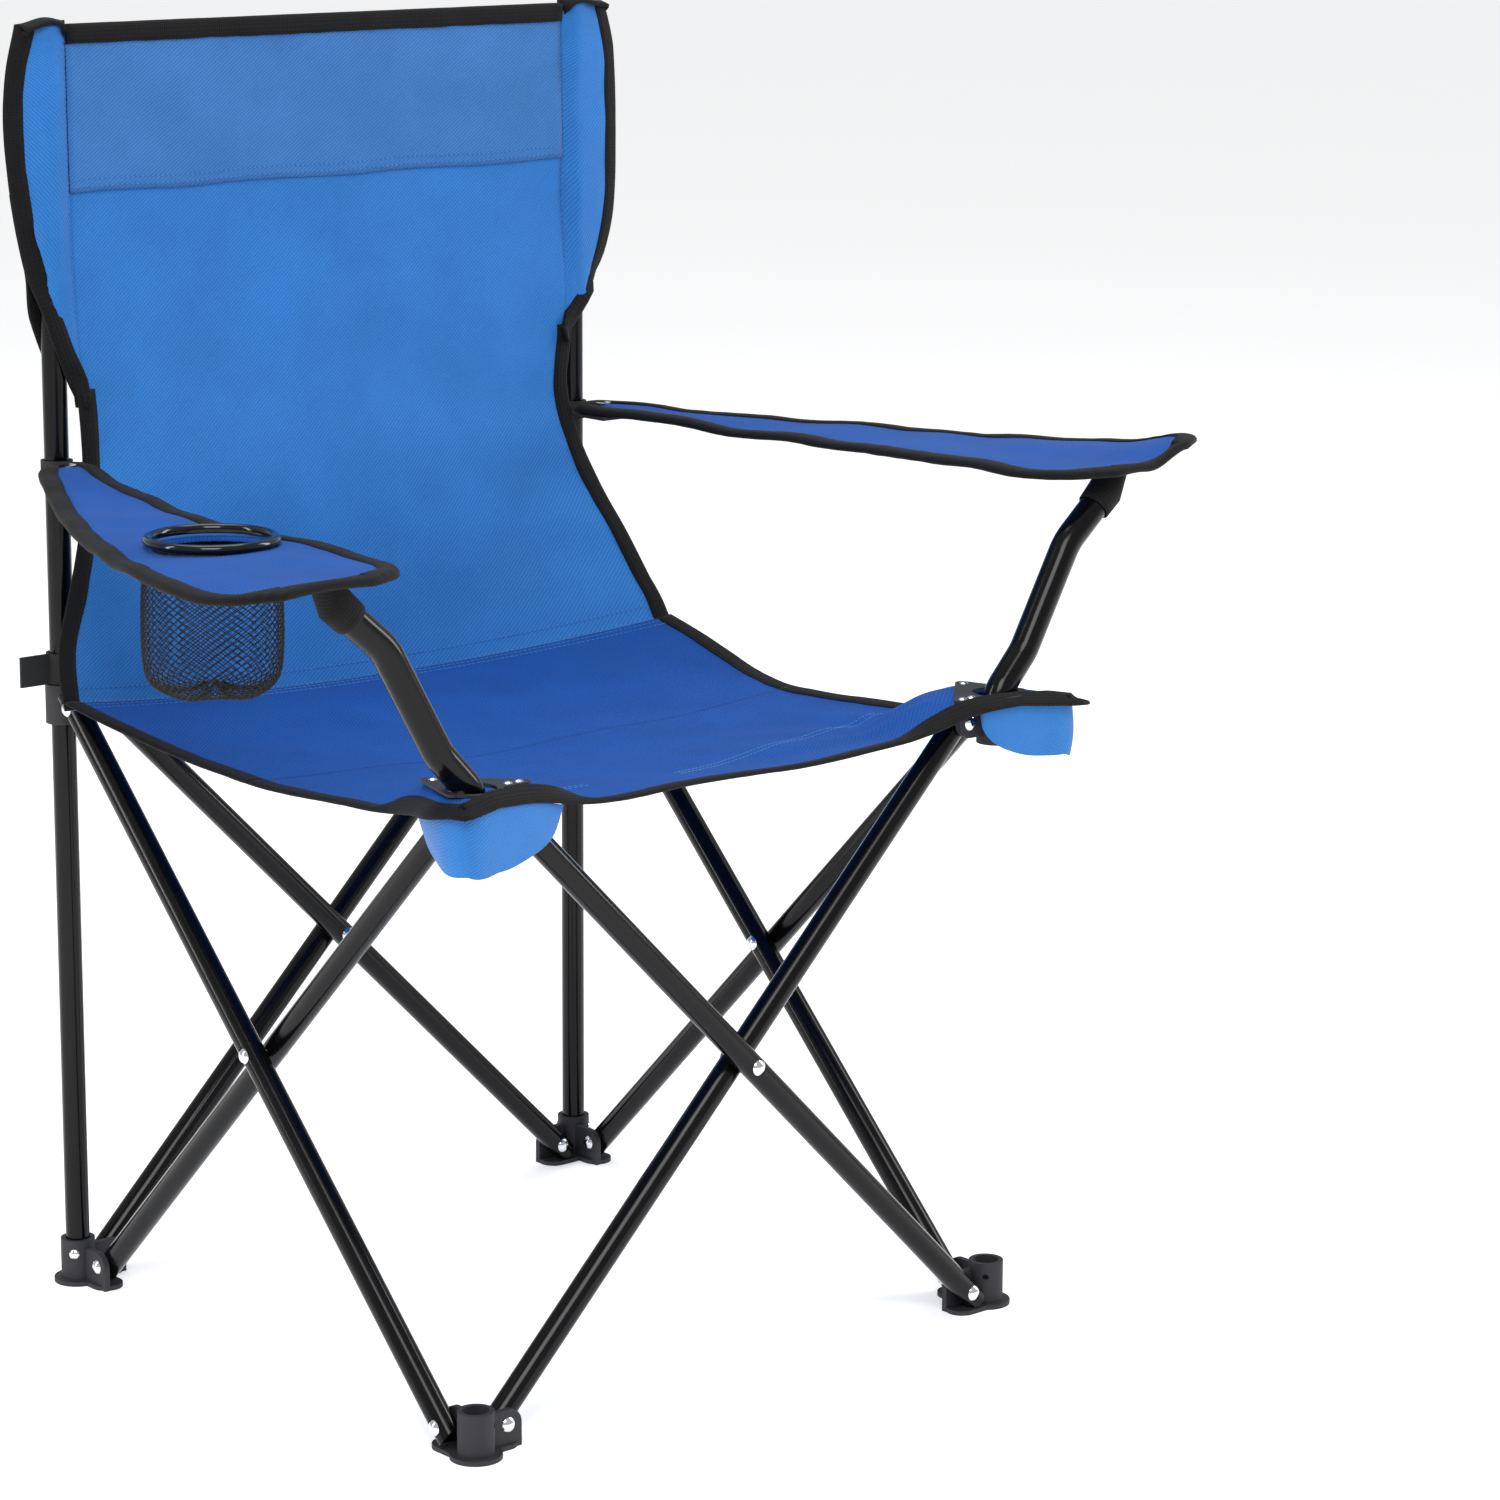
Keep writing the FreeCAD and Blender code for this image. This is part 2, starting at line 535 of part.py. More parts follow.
def back_panel():
    """Back panel: upright between the sleeves, waisted below them and drawn forwards to the seat."""
    shares = [-1.0, -0.5, 0.0, 0.5, 1.0]
    rows = [[seam_point(share) for share in shares]]
    for z, left_out, left_in, middle_in, right_out, right_in in BACK_ROWS:
        row = []
        for share in shares:
            x = through(-(HALF + left_out), (right_out - left_out) / 2.0, HALF + right_out, share)
            row.append(V(x, HALF - through(left_in, middle_in, right_in, share), z))
        rows.append(row)
    return sheet(rows, V(0, -CLOTH, 0))


def sleeve():
    """Right back sleeve: a flat closed pocket that drops over the upright."""
    def flat_tube(inset, low, high):
        radius = SLEEVE_DEPTH - inset
        first, last = HALF - SLEEVE_INSIDE + SLEEVE_DEPTH, HALF + SLEEVE_OUTSIDE - SLEEVE_DEPTH
        body = box((first, HALF - radius, low), (last, HALF + radius, high))
        for x in (first, last):
            body = body.fuse(rod(radius, V(x, HALF, low), V(x, HALF, high)))
        return body

    outside = flat_tube(0.0, SLEEVE_BOTTOM, SLEEVE_TOP)
    return outside.cut(flat_tube(SLEEVE_WALL, SLEEVE_BOTTOM - 1.0, SLEEVE_TOP - SLEEVE_WALL)).removeSplitter()


def arm_height(y):
    """Underside of an arm rest: level at the ends with a little sag between them."""
    share = (ARM_STATIONS[0][0] - y) / (ARM_STATIONS[0][0] - ARM_STATIONS[-1][0])
    return ARM_HEIGHT - ARM_SAG * math.sin(math.pi * share) + 2.0 * share


def arm_rest():
    """Right arm rest: a padded strip from the upright to past the arm post."""
    rows = []
    for y, inner, outer in ARM_STATIONS:
        rows.append([V(HALF + inner + (outer - inner) * s, y, arm_height(y)) for s in (0.0, 0.5, 1.0)])
    return sheet(rows, V(0, 0, ARM_THICKNESS))


def ring(radius, wall, x, y, low, high):
    """Upright ring with an inner radius and a wall."""
    outside = rod(radius + wall, V(x, y, low), V(x, y, high))
    return outside.cut(rod(radius, V(x, y, low), V(x, y, high)))


def arm_loop():
    """Right arm loop: webbing round the upright with a tongue under the arm rest."""
    low = ARM_HEIGHT - 1.0 - LOOP_HEIGHT / 2.0
    loop = ring(LOOP_RADIUS, LOOP_WALL, HALF, HALF, low, low + LOOP_HEIGHT)
    top = arm_height(HALF - TONGUE_REACH) - SEAM_GAP
    tongue = box((HALF - STRAP_WIDTH / 2.0, HALF - TONGUE_REACH, top - LOOP_WALL),
                 (HALF + STRAP_WIDTH / 2.0, HALF - LOOP_RADIUS - LOOP_WALL / 2.0, top))
    return loop.fuse(tongue).removeSplitter()


def arm_eyelet():
    """Metal eyelet on the rear end of the right arm rest."""
    x, y = HALF + EYELET_OUT, HALF - EYELET_FORWARD
    low = arm_height(y) + ARM_THICKNESS + EYELET_LIFT
    return ring(EYELET_HOLE, EYELET_RADIUS - EYELET_HOLE, x, y, low, low + EYELET_THICKNESS)


def cup_ring():
    """Hoop of the cup holder on the left arm."""
    middle = arm_height(CUP_Y) + ARM_THICKNESS + CUP_GAP + CUP_SECTION
    return Part.makeTorus(CUP_RADIUS + 0.5, CUP_SECTION, V(-CUP_X, CUP_Y, middle), UP)


def cup_net():
    """Net bag of the cup holder: a round pocket, open above and narrower below."""
    top = arm_height(CUP_Y) - CUP_GAP
    bottom = top - NET_DEPTH
    place = V(-CUP_X, CUP_Y, bottom)
    outside = Part.makeCone(NET_BOTTOM, CUP_RADIUS, NET_DEPTH, place)
    inside = Part.makeCone(NET_BOTTOM - NET_WALL, CUP_RADIUS - NET_WALL, NET_DEPTH, place + V(0, 0, NET_WALL))
    return outside.cut(inside)


def corner_plate():
    """Right corner plate: a rounded three-sided plate round the arm post."""
    low = SEAT_PIVOT_HEIGHT + PLATE_RISE
    high = low + PLATE_THICKNESS
    centres = [V(HALF + PLATE_OUT, -HALF - PLATE_EDGE, low), V(HALF - PLATE_REACH, -HALF - PLATE_EDGE, low),
               V(HALF + PLATE_EDGE, -HALF + PLATE_REACH, low)]
    radius = PLATE_CORNER
    outline = Part.Face(Part.makePolygon(centres + centres[:1])).extrude(V(0, 0, PLATE_THICKNESS))
    for first, last in zip(centres, centres[1:] + centres[:1]):
        run = last - first
        side = V(-run.y, run.x, 0)
        side.normalize()
        strip = Part.Face(Part.makePolygon([first + side * radius, last + side * radius, last - side * radius,
                                            first - side * radius, first + side * radius]))
        outline = outline.fuse(strip.extrude(V(0, 0, PLATE_THICKNESS)))
        outline = outline.fuse(rod(radius, first, first + V(0, 0, PLATE_THICKNESS)))
    outline = outline.fuse(rod(PLATE_HOLE + PLATE_EDGE, V(HALF, -HALF, low), V(HALF, -HALF, high)))
    return outline.cut(rod(PLATE_HOLE, V(HALF, -HALF, low - 1), V(HALF, -HALF, high + 1))).removeSplitter()


def plate_rivets():
    """Three small rivet heads on the right corner plate."""
    top = SEAT_PIVOT_HEIGHT + PLATE_RISE + PLATE_THICKNESS
    near, far = PLATE_REACH - 10.0, PLATE_REACH - 2.0
    spots = [(HALF - far, -HALF - 3.0), (HALF - near, -HALF - 3.0), (HALF + 3.0, -HALF + far)]
    heads = [dome(V(x, y, top), UP, PLATE_RIVET_RADIUS, PLATE_RIVET_HEIGHT) for x, y in spots]
    return Part.makeCompound(heads)


def corner_pocket(stand):
    """Right corner pocket: a front flap and a side flap that hang outside the hub."""
    top = SEAT_PIVOT_HEIGHT + PLATE_RISE - 4.0
    face = -(HALF + OUTER_PLANE + TUBE_RADIUS + stand)
    low, out = top - POCKET_DEPTH, HALF + POCKET_OUT
    front = box((HALF - POCKET_IN, face - POCKET_WALL, low), (out, face, top))
    side = box((out - POCKET_WALL, face, low), (out, -HALF + POCKET_RETURN, top))
    return front.fuse(side).removeSplitter()


def corner_strap():
    """Right rear corner strap: webbing round the upright above the slider, with an outer loop."""
    low = SEAT_PIVOT_HEIGHT + SLIDER_ABOVE + 0.6
    loop = ring(LOOP_RADIUS, LOOP_WALL, HALF, HALF, low, low + STRAP_WIDTH)
    tab = box((HALF + LOOP_RADIUS + LOOP_WALL / 2.0, HALF - LOOP_WALL / 2.0, low),
              (HALF + STRAP_TAB, HALF + LOOP_WALL / 2.0, low + STRAP_WIDTH))
    return loop.fuse(tab).removeSplitter()


def export_frame():
    """Feet, tubes, rivets, sliders, hubs, uprights and posts."""
    foot_shape, outer, inner = foot(), outer_tube(), inner_tube()
    middle = front_rivet(0.0, (FOOT_PIVOT_HEIGHT + SEAT_PIVOT_HEIGHT) / 2.0, INNER_SEAT, OUTER_SEAT)
    slider_shape, hub_shape, rivets = slider(), hub(), top_rivets()
    for k, (face, corner) in enumerate(zip(FACES, CORNERS)):
        rear = corner.startswith("rear")
        export(quarter(foot_shape, k), corner + "_foot")
        export(quarter(foot_rivets(rear), k), corner + "_foot_rivets")
        export(quarter(outer, k), face + "_outer_tube")
        export(quarter(inner, k), face + "_inner_tube")
        export(quarter(middle, k), face + "_middle_rivet")
        if rear:
            export(quarter(slider_shape, k), corner + "_slider")
            export(quarter(rivets, k), corner + "_slider_rivets")
            export(quarter(upright(), k), corner + "_upright")
            export(quarter(upright_cap(), k), corner + "_upright_cap")
        else:
            export(quarter(hub_shape, k), corner + "_hub")
            export(quarter(rivets, k), corner + "_hub_rivets")
    post, end, direction = arm_post()
    cap = post_cap(end, direction)
    for side, turn in (("right", lambda shape: shape), ("left", mirrored)):
        export(turn(post), side + "_arm_post")
        export(turn(cap), side + "_arm_post_cap")


def export_fabric():
    """Seat, back, arm rests, cup holder, straps, plates and pockets."""
    export(seat_front(), "seat_front_panel")
    export(seat_rear(), "seat_rear_panel")
    export(back_panel(), "back_panel")
    plain = arm_rest()
    cup_hole = rod(CUP_RADIUS - 0.5, V(-CUP_X, CUP_Y, 0), V(-CUP_X, CUP_Y, UPRIGHT_TOP))
    pieces = {"back_sleeve": sleeve(), "arm_loop": arm_loop(), "corner_plate": corner_plate(),
              "corner_plate_rivets": plate_rivets(), "corner_strap": corner_strap(),
              "arm_eyelet": arm_eyelet()}
    for name, shape in pieces.items():
        export(shape, "right_" + name)
        export(mirrored(shape), "left_" + name)
    export(plain, "right_arm_rest")
    export(mirrored(plain).cut(cup_hole), "left_arm_rest")
    export(corner_pocket(POCKET_STAND_RIGHT), "right_corner_pocket")
    export(mirrored(corner_pocket(POCKET_STAND_LEFT)), "left_corner_pocket")
    export(cup_ring(), "cup_ring")
    export(cup_net(), "cup_net")


os.makedirs("parts", exist_ok=True)
export_frame()
export_fabric()
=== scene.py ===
"""Folding camp chair: cloth, binding, stitching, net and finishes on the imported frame."""
import json
import math

import bmesh
import bpy
from mathutils import Matrix, Vector, noise


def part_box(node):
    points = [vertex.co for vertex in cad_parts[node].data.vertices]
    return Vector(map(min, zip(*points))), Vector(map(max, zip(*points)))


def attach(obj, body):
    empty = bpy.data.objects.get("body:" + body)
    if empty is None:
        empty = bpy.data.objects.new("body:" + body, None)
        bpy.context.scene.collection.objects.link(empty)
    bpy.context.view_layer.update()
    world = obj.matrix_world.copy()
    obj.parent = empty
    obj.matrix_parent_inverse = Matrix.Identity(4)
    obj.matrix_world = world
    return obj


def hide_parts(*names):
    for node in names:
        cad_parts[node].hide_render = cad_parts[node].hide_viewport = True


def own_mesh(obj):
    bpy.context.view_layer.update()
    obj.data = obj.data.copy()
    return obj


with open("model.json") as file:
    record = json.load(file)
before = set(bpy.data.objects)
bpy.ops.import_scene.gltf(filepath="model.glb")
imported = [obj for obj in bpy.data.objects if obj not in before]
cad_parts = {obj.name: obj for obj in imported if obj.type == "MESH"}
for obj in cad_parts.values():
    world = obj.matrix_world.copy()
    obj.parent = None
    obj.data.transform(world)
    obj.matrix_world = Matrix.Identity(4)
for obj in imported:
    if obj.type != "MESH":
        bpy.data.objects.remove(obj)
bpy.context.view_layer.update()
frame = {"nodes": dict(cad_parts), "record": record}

bl_info = {
    "name": "Folding Camp Chair",
    "version": (1, 0, 0),
    "blender": (4, 5, 0),
    "location": "View3D > Sidebar > Camp Chair",
    "description": "Builds the cloth, trim and finishes of a folding camp chair on its frame",
    "category": "Object",
}

# Shapes are worked out in millimetres, from the middle of the four corner axes.  The frame gives the
# places of those axes.
UPRIGHT_LOW, UPRIGHT_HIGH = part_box("rear_right_upright")
HALF = 500.0 * (UPRIGHT_LOW.x + UPRIGHT_HIGH.x)
SHIFT = 500.0 * (UPRIGHT_LOW.y + UPRIGHT_HIGH.y) - HALF
PIVOT_Z = 1000.0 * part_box("front_right_hub")[0].z + 16.0
PLATE_Z = 1000.0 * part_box("right_corner_plate")[0].z
ARM_Z = 1000.0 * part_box("right_arm_rest")[1].z - 4.0
RING_LOW, RING_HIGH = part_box("cup_ring")
CUP_X = 500.0 * (RING_LOW.x + RING_HIGH.x)
CUP_Y = 500.0 * (RING_LOW.y + RING_HIGH.y) - SHIFT
CUP_Z = 1000.0 * RING_LOW.z
MM = 0.001

CLOTH_WALL = 0.9
POST_HOLE = 15.5              # radius of the holes that the arm posts pass through
CUP_HOLE = 36.0               # radius of the hole under the cup ring
HEAD_LOW_Z = 727.0            # hem of the head panel
BACK_LOW_Z = 403.0            # left end of the seam between seat and back
ARM_WALL = 2.8                # two layers of cloth with a stiffener
SPLIT_Y = -6.0
SEAM_INSIDE = 12.5            # sleeve seam, from the upright's axis
TOP_Z = 831.8
WAIST_LEFT_Z, WAIST_RIGHT_Z = 594.0, 604.0
TUBE = 9.4                    # upright with the cloth round it

SEAT_LEFT = [(-246, 29), (-215, 31), (-185, 19), (-145, 9), (-60, 8), (60, 9), (100, 11), (178, 21)]
SEAT_RIGHT = [(-246, 52), (-215, 41), (-190, 27), (-160, 13), (-60, 9), (0, 11),
              (53, 20), (104, 29), (150, 35)]
BACK_LEFT_X = [(403, -236), (435, -226), (467, -211), (505, -204), (545, -202), (590, -202.5),
               (832, -202.5)]
BACK_RIGHT_X = [(403, 250), (420, 247), (435, 241), (467, 228), (495, 213), (529, 200), (569, 194),
                (596, 200), (612, 202.5), (832, 202.5)]
BACK_LEFT_Y = [(403, 178), (435, 188), (467, 193), (505, 194), (545, 195), (575, 198), (600, 202),
               (640, 207), (700, 211), (832, 213)]
BACK_RIGHT_Y = [(403, 150), (420, 161), (435, 172), (467, 187), (495, 195), (529, 200), (569, 203),
                (612, 205), (660, 209), (700, 211), (832, 213)]
BACK_MIDDLE_Y = [(403, 182), (435, 187), (467, 190), (505, 192), (545, 194), (575, 198), (612, 204),
                 (656, 208), (690, 211), (760, 214), (832, 213)]
SLEEVE_OUT = {1: [(604, -12.4), (611, -8), (625, 4), (645, 19), (660, 28), (690, 36), (740, 38),
                  (800, 36), (822, 31), (832, 27)],
              -1: [(594, -12.4), (612, -4), (640, 7), (667, 15), (700, 23), (740, 29), (776, 31),
                   (806, 28), (832, 21)]}
ARM_INNER = [(-238, 300), (-225, 276), (-190, 259), (-130, 255), (-64, 254), (0, 249), (64, 238),
             (130, 222), (185, 206), (200, 207)]
ARM_OUTER = [(-238, 364), (-225, 384), (-190, 395), (-130, 388), (-64, 366), (0, 340), (64, 310),
             (130, 276), (185, 246), (200, 234)]


# ---------------------------------------------------------------- small helpers

def metres(point):
    """Point in the chair's millimetres to the frame's metres."""
    return Vector((point[0] * MM, (point[1] + SHIFT) * MM, point[2] * MM))


def linear(text):
    """sRGB hex colour to linear RGBA."""
    parts = [int(text[i:i + 2], 16) / 255.0 for i in (1, 3, 5)]
    return tuple(c / 12.92 if c <= 0.04045 else ((c + 0.055) / 1.055) ** 2.4 for c in parts) + (1.0,)


def mix(a, b, share):
    return a + (b - a) * share


def ease(low, high, value):
    """Smooth step from 0 at low to 1 at high."""
    share = min(1.0, max(0.0, (value - low) / (high - low)))
    return share * share * (3.0 - 2.0 * share)


def smooth(table, place):
    """Value on the smooth curve through a table of (place, value) rows."""
    if place <= table[0][0]:
        return float(table[0][1])
    if place >= table[-1][0]:
        return float(table[-1][1])
    k = next(i for i, row in enumerate(table) if row[0] > place) - 1

    def slope(i):
        low, high = max(i - 1, 0), min(i + 1, len(table) - 1)
        return (table[high][1] - table[low][1]) / (table[high][0] - table[low][0])

    run = table[k + 1][0] - table[k][0]
    t = (place - table[k][0]) / run
    first, last = slope(k) * run, slope(k + 1) * run
    a, b = table[k][1], table[k + 1][1]
    return ((2 * t ** 3 - 3 * t ** 2 + 1) * a + (t ** 3 - 2 * t ** 2 + t) * first
            + (3 * t ** 2 - 2 * t ** 3) * b + (t ** 3 - t ** 2) * last)


def through(first, middle, last, share):
    """Value on the curve through three evenly spaced values, for a share from -1 to 1."""
    return middle + (last - first) * share / 2.0 + ((first + last) / 2.0 - middle) * share * share


def ripple(x, y, z, size, height):
    """Soft unevenness of cloth: smooth noise with a size and a height in millimetres."""
    return height * noise.noise(Vector((x, y, z)) / size)


# ---------------------------------------------------------------- cloth surfaces

def seat_front_edge(share):
    """Place of the seat's front edge, for a share from -1 at the left to 1 at the right."""
    return -246.0 + 26.0 * max(0.0, 1.0 - share ** 2)


def seat_z(x, y):
    """Height of the seat cloth: a shallow bowl, higher on the corner pieces, with pulls from them."""
    side, end = min(abs(x) / HALF, 1.15), min(abs(y) / HALF, 1.1)
    bowl = PIVOT_Z - 23.0 + 8.0 * side ** 2 + 17.0 * end ** 2
    over = PLATE_Z - 1.2
    edges = SEAT_RIGHT if x > 0.0 else SEAT_LEFT
    margin = min(HALF + smooth(edges, y) - abs(x), y - seat_front_edge(x / HALF))
    lift = ease(95.0, 34.0, math.hypot(abs(x) - HALF, y + HALF)) * ease(-3.0, 13.0, margin)
    z = bowl + (over - bowl) * lift
    for corner, height, folds in ((1.0, 2.6, 15.0), (-1.0, 1.6, 13.0)):
        dx, dy = x - corner * HALF, y + HALF
        away = math.hypot(dx, dy)
        turn = math.atan2(dy, -corner * dx)
        pull = math.exp(-away / 105.0) * ease(34.0, 80.0, away)
        pull *= ease(0.05, 0.4, turn) * ease(1.75, 1.3, turn)
        z += height * pull * math.sin(folds * turn + corner)
    return z + ripple(x, y, 3.0, 95.0, 2.4) + ripple(x, y, 9.0, 34.0, 0.5)


def seam_point(share):
    """Seam between seat and back, from the left edge at -1 to the right edge at 1."""
    return (through(-236.0, 0.0, 250.0, share), through(178.0, 182.0, 150.0, share),
            through(403.0, 388.0, 405.0, share))


def seat_front(s, t):
    share = 2.0 * s - 1.0
    y = mix(seat_front_edge(share), SPLIT_Y, t)
    x = mix(-HALF - smooth(SEAT_LEFT, y), HALF + smooth(SEAT_RIGHT, y), s)
    return x, y, seat_z(x, y)


def seat_rear(s, t):
    share = 2.0 * s - 1.0
    seam = seam_point(share)
    y = mix(SPLIT_Y, seam[1], t)
    x = mix(-HALF - smooth(SEAT_LEFT, y), HALF + smooth(SEAT_RIGHT, y), s)
    z = mix(seat_z(x, y), seam[2] + 1.0, t * t * (0.4 + 0.6 * t))
    return mix(x, seam[0], t * t), y - 0.9 * t, z


def back(s, t):
    share = 2.0 * s - 1.0
    level = mix(BACK_LOW_Z, TOP_Z, t)
    left, right = smooth(BACK_LEFT_X, level), smooth(BACK_RIGHT_X, level)
    low = (1.0 - t) ** 5
    x = mix(mix(left, right, s), seam_point(share)[0], low)
    y = through(smooth(BACK_LEFT_Y, level), smooth(BACK_MIDDLE_Y, level), smooth(BACK_RIGHT_Y, level), share)
    z = level + (seam_point(share)[2] - 407.0) * low
    pull = ease(0.55, 1.0, abs(share)) * ease(0.52, 0.34, t) * ease(0.05, 0.14, t)
    y += 1.6 * pull * math.sin(z / 9.0 + 2.5 * abs(share)) * (1.0 - abs(share) ** 8)
    y += ripple(x, 0.0, z, 120.0, 4.5) * (1.0 - share ** 4) * ease(0.0, 0.15, t) * ease(1.0, 0.9, t)
    return x, y + ripple(x, 5.0, z, 38.0, 0.7), z


def head(s, t):
    """Head panel: a second layer in front of the top of the back, with a slightly wavy hem."""
    low = (HEAD_LOW_Z - BACK_LOW_Z + 0.6 * math.sin(21.0 * s)) / (TOP_Z - BACK_LOW_Z)
    x, y, z = back(s, mix(low, 1.0, t))
    return x, y - 1.5 + ripple(x, 8.0, z, 45.0, 0.7), z


def hull(points, sign):
    """Taut line over a row of (x, y) points, on the side that sign names."""
    line = []
    for point in points:
        while len(line) > 1:
            (ax, ay), (bx, by) = line[-2], line[-1]
            if sign * ((bx - ax) * (point[1] - ay) - (by - ay) * (point[0] - ax)) < 0.0:
                break
            line.pop()
        line.append(point)
    return line


def sleeve_point(side, layer, s, t):
    """Sleeve round an upright.  layer 1 passes in front of it and -1 behind; s runs outwards."""
    low = WAIST_RIGHT_Z if side > 0 else WAIST_LEFT_Z
    closing = max(0.0, t - 0.94) / 0.06 * math.pi / 2.0
    top = max(0.05, math.cos(closing))
    z = mix(low - 4.0 + (0.0 if layer > 0 else 20.0), TOP_Z, 1.0 - (1.0 - min(t / 0.94, 1.0)) ** 1.7)
    out = max(smooth(SLEEVE_OUT[side], z), -SEAM_INSIDE + 1.0)
    seam_y = smooth(BACK_RIGHT_Y if side > 0 else BACK_LEFT_Y, z)
    start = HALF - seam_y
    if layer < 0:
        start -= 1.0
    end = (0.6 + (TUBE - 0.6) * ease(19.0, 9.0, out)) * layer
    row = []
    count = 36
    for i in range(count + 1):
        x = mix(-SEAM_INSIDE, out, i / count)
        ring = math.sqrt(max(0.0, TUBE ** 2 - x * x)) * top if abs(x) < TUBE else 0.0
        edge = mix(start, end, i / count) * (top if i else 1.0)
        y = max(ring, edge) if layer > 0 else min(-ring, edge) if abs(x) < TUBE else edge
        row.append((x, y))
    line = hull(row, layer)
    x = mix(-SEAM_INSIDE, out, s)
    k = next((i for i in range(1, len(line)) if line[i][0] >= x - 1e-9), len(line) - 1)
    (ax, ay), (bx, by) = line[k - 1], line[k]
    y = mix(ay, by, (x - ax) / (bx - ax) if bx > ax else 1.0)
    slack = ease(0.0, 0.25, s) * ease(0.92, 0.6, s) * ease(0.94, 0.88, t)
    y += layer * slack * (0.7 + ripple(x, layer * 40.0, z, 26.0, 2.2))
    rise = (1.0 + 4.2 * math.exp(-((x - 1.0) / 13.0) ** 2)) * math.sin(closing)
    return side * (HALF + x), HALF - y, z + rise


def arm_z(y):
    share = (200.0 - y) / 438.0
    return ARM_Z - 7.0 * math.sin(math.pi * share) + 2.0 * (share - 1.0) + 2.0


def arm(side, s, t):
    """Arm rest from rear to front; s runs outwards."""
    y = mix(200.0, -238.0, t)
    x = mix(smooth(ARM_INNER, y), smooth(ARM_OUTER, y), s)
    z = arm_z(y) + 1.2 * math.sin(math.pi * s)
    tip = ease(0.45, 1.0, s) * ease(0.72, 0.95, t)
    z += (8.0 if side > 0 else -7.0) * tip
    z -= 5.0 * ease(0.72, 0.95, t) * (1.0 - tip)
    z += ripple(x * side, y, 0.0, 48.0, 2.6) * ease(0.0, 0.12, t)
    return side * x, y, z


POCKET_PATH = {-1: [(0.0, (-157.0, -229.0)), (0.45, (-212.0, -239.0)), (0.62, (-237.0, -240.0)),
                    (0.74, (-242.0, -222.0)), (1.0, (-224.0, -172.0))],
               1: [(0.0, (188.0, -229.0)), (0.45, (236.0, -236.5)), (0.64, (262.0, -237.0)),
                   (0.76, (264.0, -222.0)), (1.0, (238.0, -172.0))]}


def pocket_depth(side, s):
    return (40.0 if side < 0 else 36.0) * max(0.0, math.sin(math.pi * min(max(s, 0.0), 1.0))) ** 0.4


def pocket(side, s, t):
    """Corner pocket: a half-round flap that hangs round the tip of the seat."""
    path = POCKET_PATH[side]
    x = smooth([(row[0], row[1][0]) for row in path], s)
    y = smooth([(row[0], row[1][1]) for row in path], s)
    top = seat_z(x, y) - 2.0 - 2.0 * ease(0.3, 0.0, s)
    depth = pocket_depth(side, s)
    puff = math.sin(math.pi * t) * math.sin(math.pi * s)
    draw = 3.0 * t * t
    fold = 2.2 * math.sin(9.0 * s + 2.0 * t) * t * math.sin(math.pi * s)
    cx, cy = side * (HALF - 20.0), -HALF + 30.0
    away = math.hypot(x - cx, y - cy)
    reach = (2.0 * puff - draw + fold) / away
    return x + (x - cx) * reach, y + (y - cy) * reach * 0.6, top - depth * t


# ---------------------------------------------------------------- pieces

def finish_piece(name, bm, body, material, wall=0.0):
    """Object at the origin from a bmesh, smooth, riding on a body, with an optional cloth wall."""
    mesh = bpy.data.meshes.new(name)
    bm.to_mesh(mesh)
    bm.free()
    mesh.polygons.foreach_set("use_smooth", [True] * len(mesh.polygons))
    mesh.materials.append(bpy.data.materials[material])
    piece = bpy.data.objects.new(name, mesh)
    bpy.context.scene.collection.objects.link(piece)
    if wall:
        solid = piece.modifiers.new("cloth wall", "SOLIDIFY")
        solid.thickness = wall * MM
        solid.offset = 0.0
    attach(piece, body)
    return piece


def grid(across, along, shape, width, length, wrap=False):
    """Grid of vertices laid on shape(s, t), with UVs in metres of cloth."""
    bm = bmesh.new()
    bmesh.ops.create_grid(bm, x_segments=across, y_segments=along, size=1.0)
    low = min(v.co.x for v in bm.verts)
    span = -2.0 * low
    layer = bm.loops.layers.uv.new("weave")
    flat = {v: ((v.co.x - low) / span, (v.co.y - low) / span) for v in bm.verts}
    for face in bm.faces:
        for loop in face.loops:
            s, t = flat[loop.vert]
            loop[layer].uv = (s * width * MM, t * length * MM)
    for v, (s, t) in flat.items():
        v.co = metres(shape(s, t))
    if wrap:
        bmesh.ops.remove_doubles(bm, verts=bm.verts, dist=0.02 * MM)
    return bm


def punch(bm, x, y, radius):
    """Round hole in a sheet that lies nearly level."""
    centre = metres((x, y, 0.0))

    def off(v):
        return Vector((v.co.x - centre.x, v.co.y - centre.y))

    bmesh.ops.delete(bm, geom=[v for v in bm.verts if off(v).length < radius * MM], context="VERTS")
    for v in bm.verts:
        if v.is_boundary and off(v).length < (radius + 9.0) * MM:
            step = off(v)
            step *= radius * MM / step.length
            v.co.x, v.co.y = centre.x + step.x, centre.y + step.y
    return bm


def frames(shape, path):
    """Edge points of a sheet with the unit directions into the cloth and out of its face."""
    rows = []
    for s, t, ds, dt in path:
        point = Vector(shape(s, t))
        inner = Vector(shape(s + 0.01 * ds, t + 0.01 * dt)) - point
        rows.append((point, inner))
    result = []
    for i, (point, inner) in enumerate(rows):
        run = rows[min(i + 1, len(rows) - 1)][0] - rows[max(i - 1, 0)][0]
        run.normalize()
        inner = inner - run * inner.dot(run)
        inner.normalize()
        result.append((point, inner, inner.cross(run).normalized()))
    return result


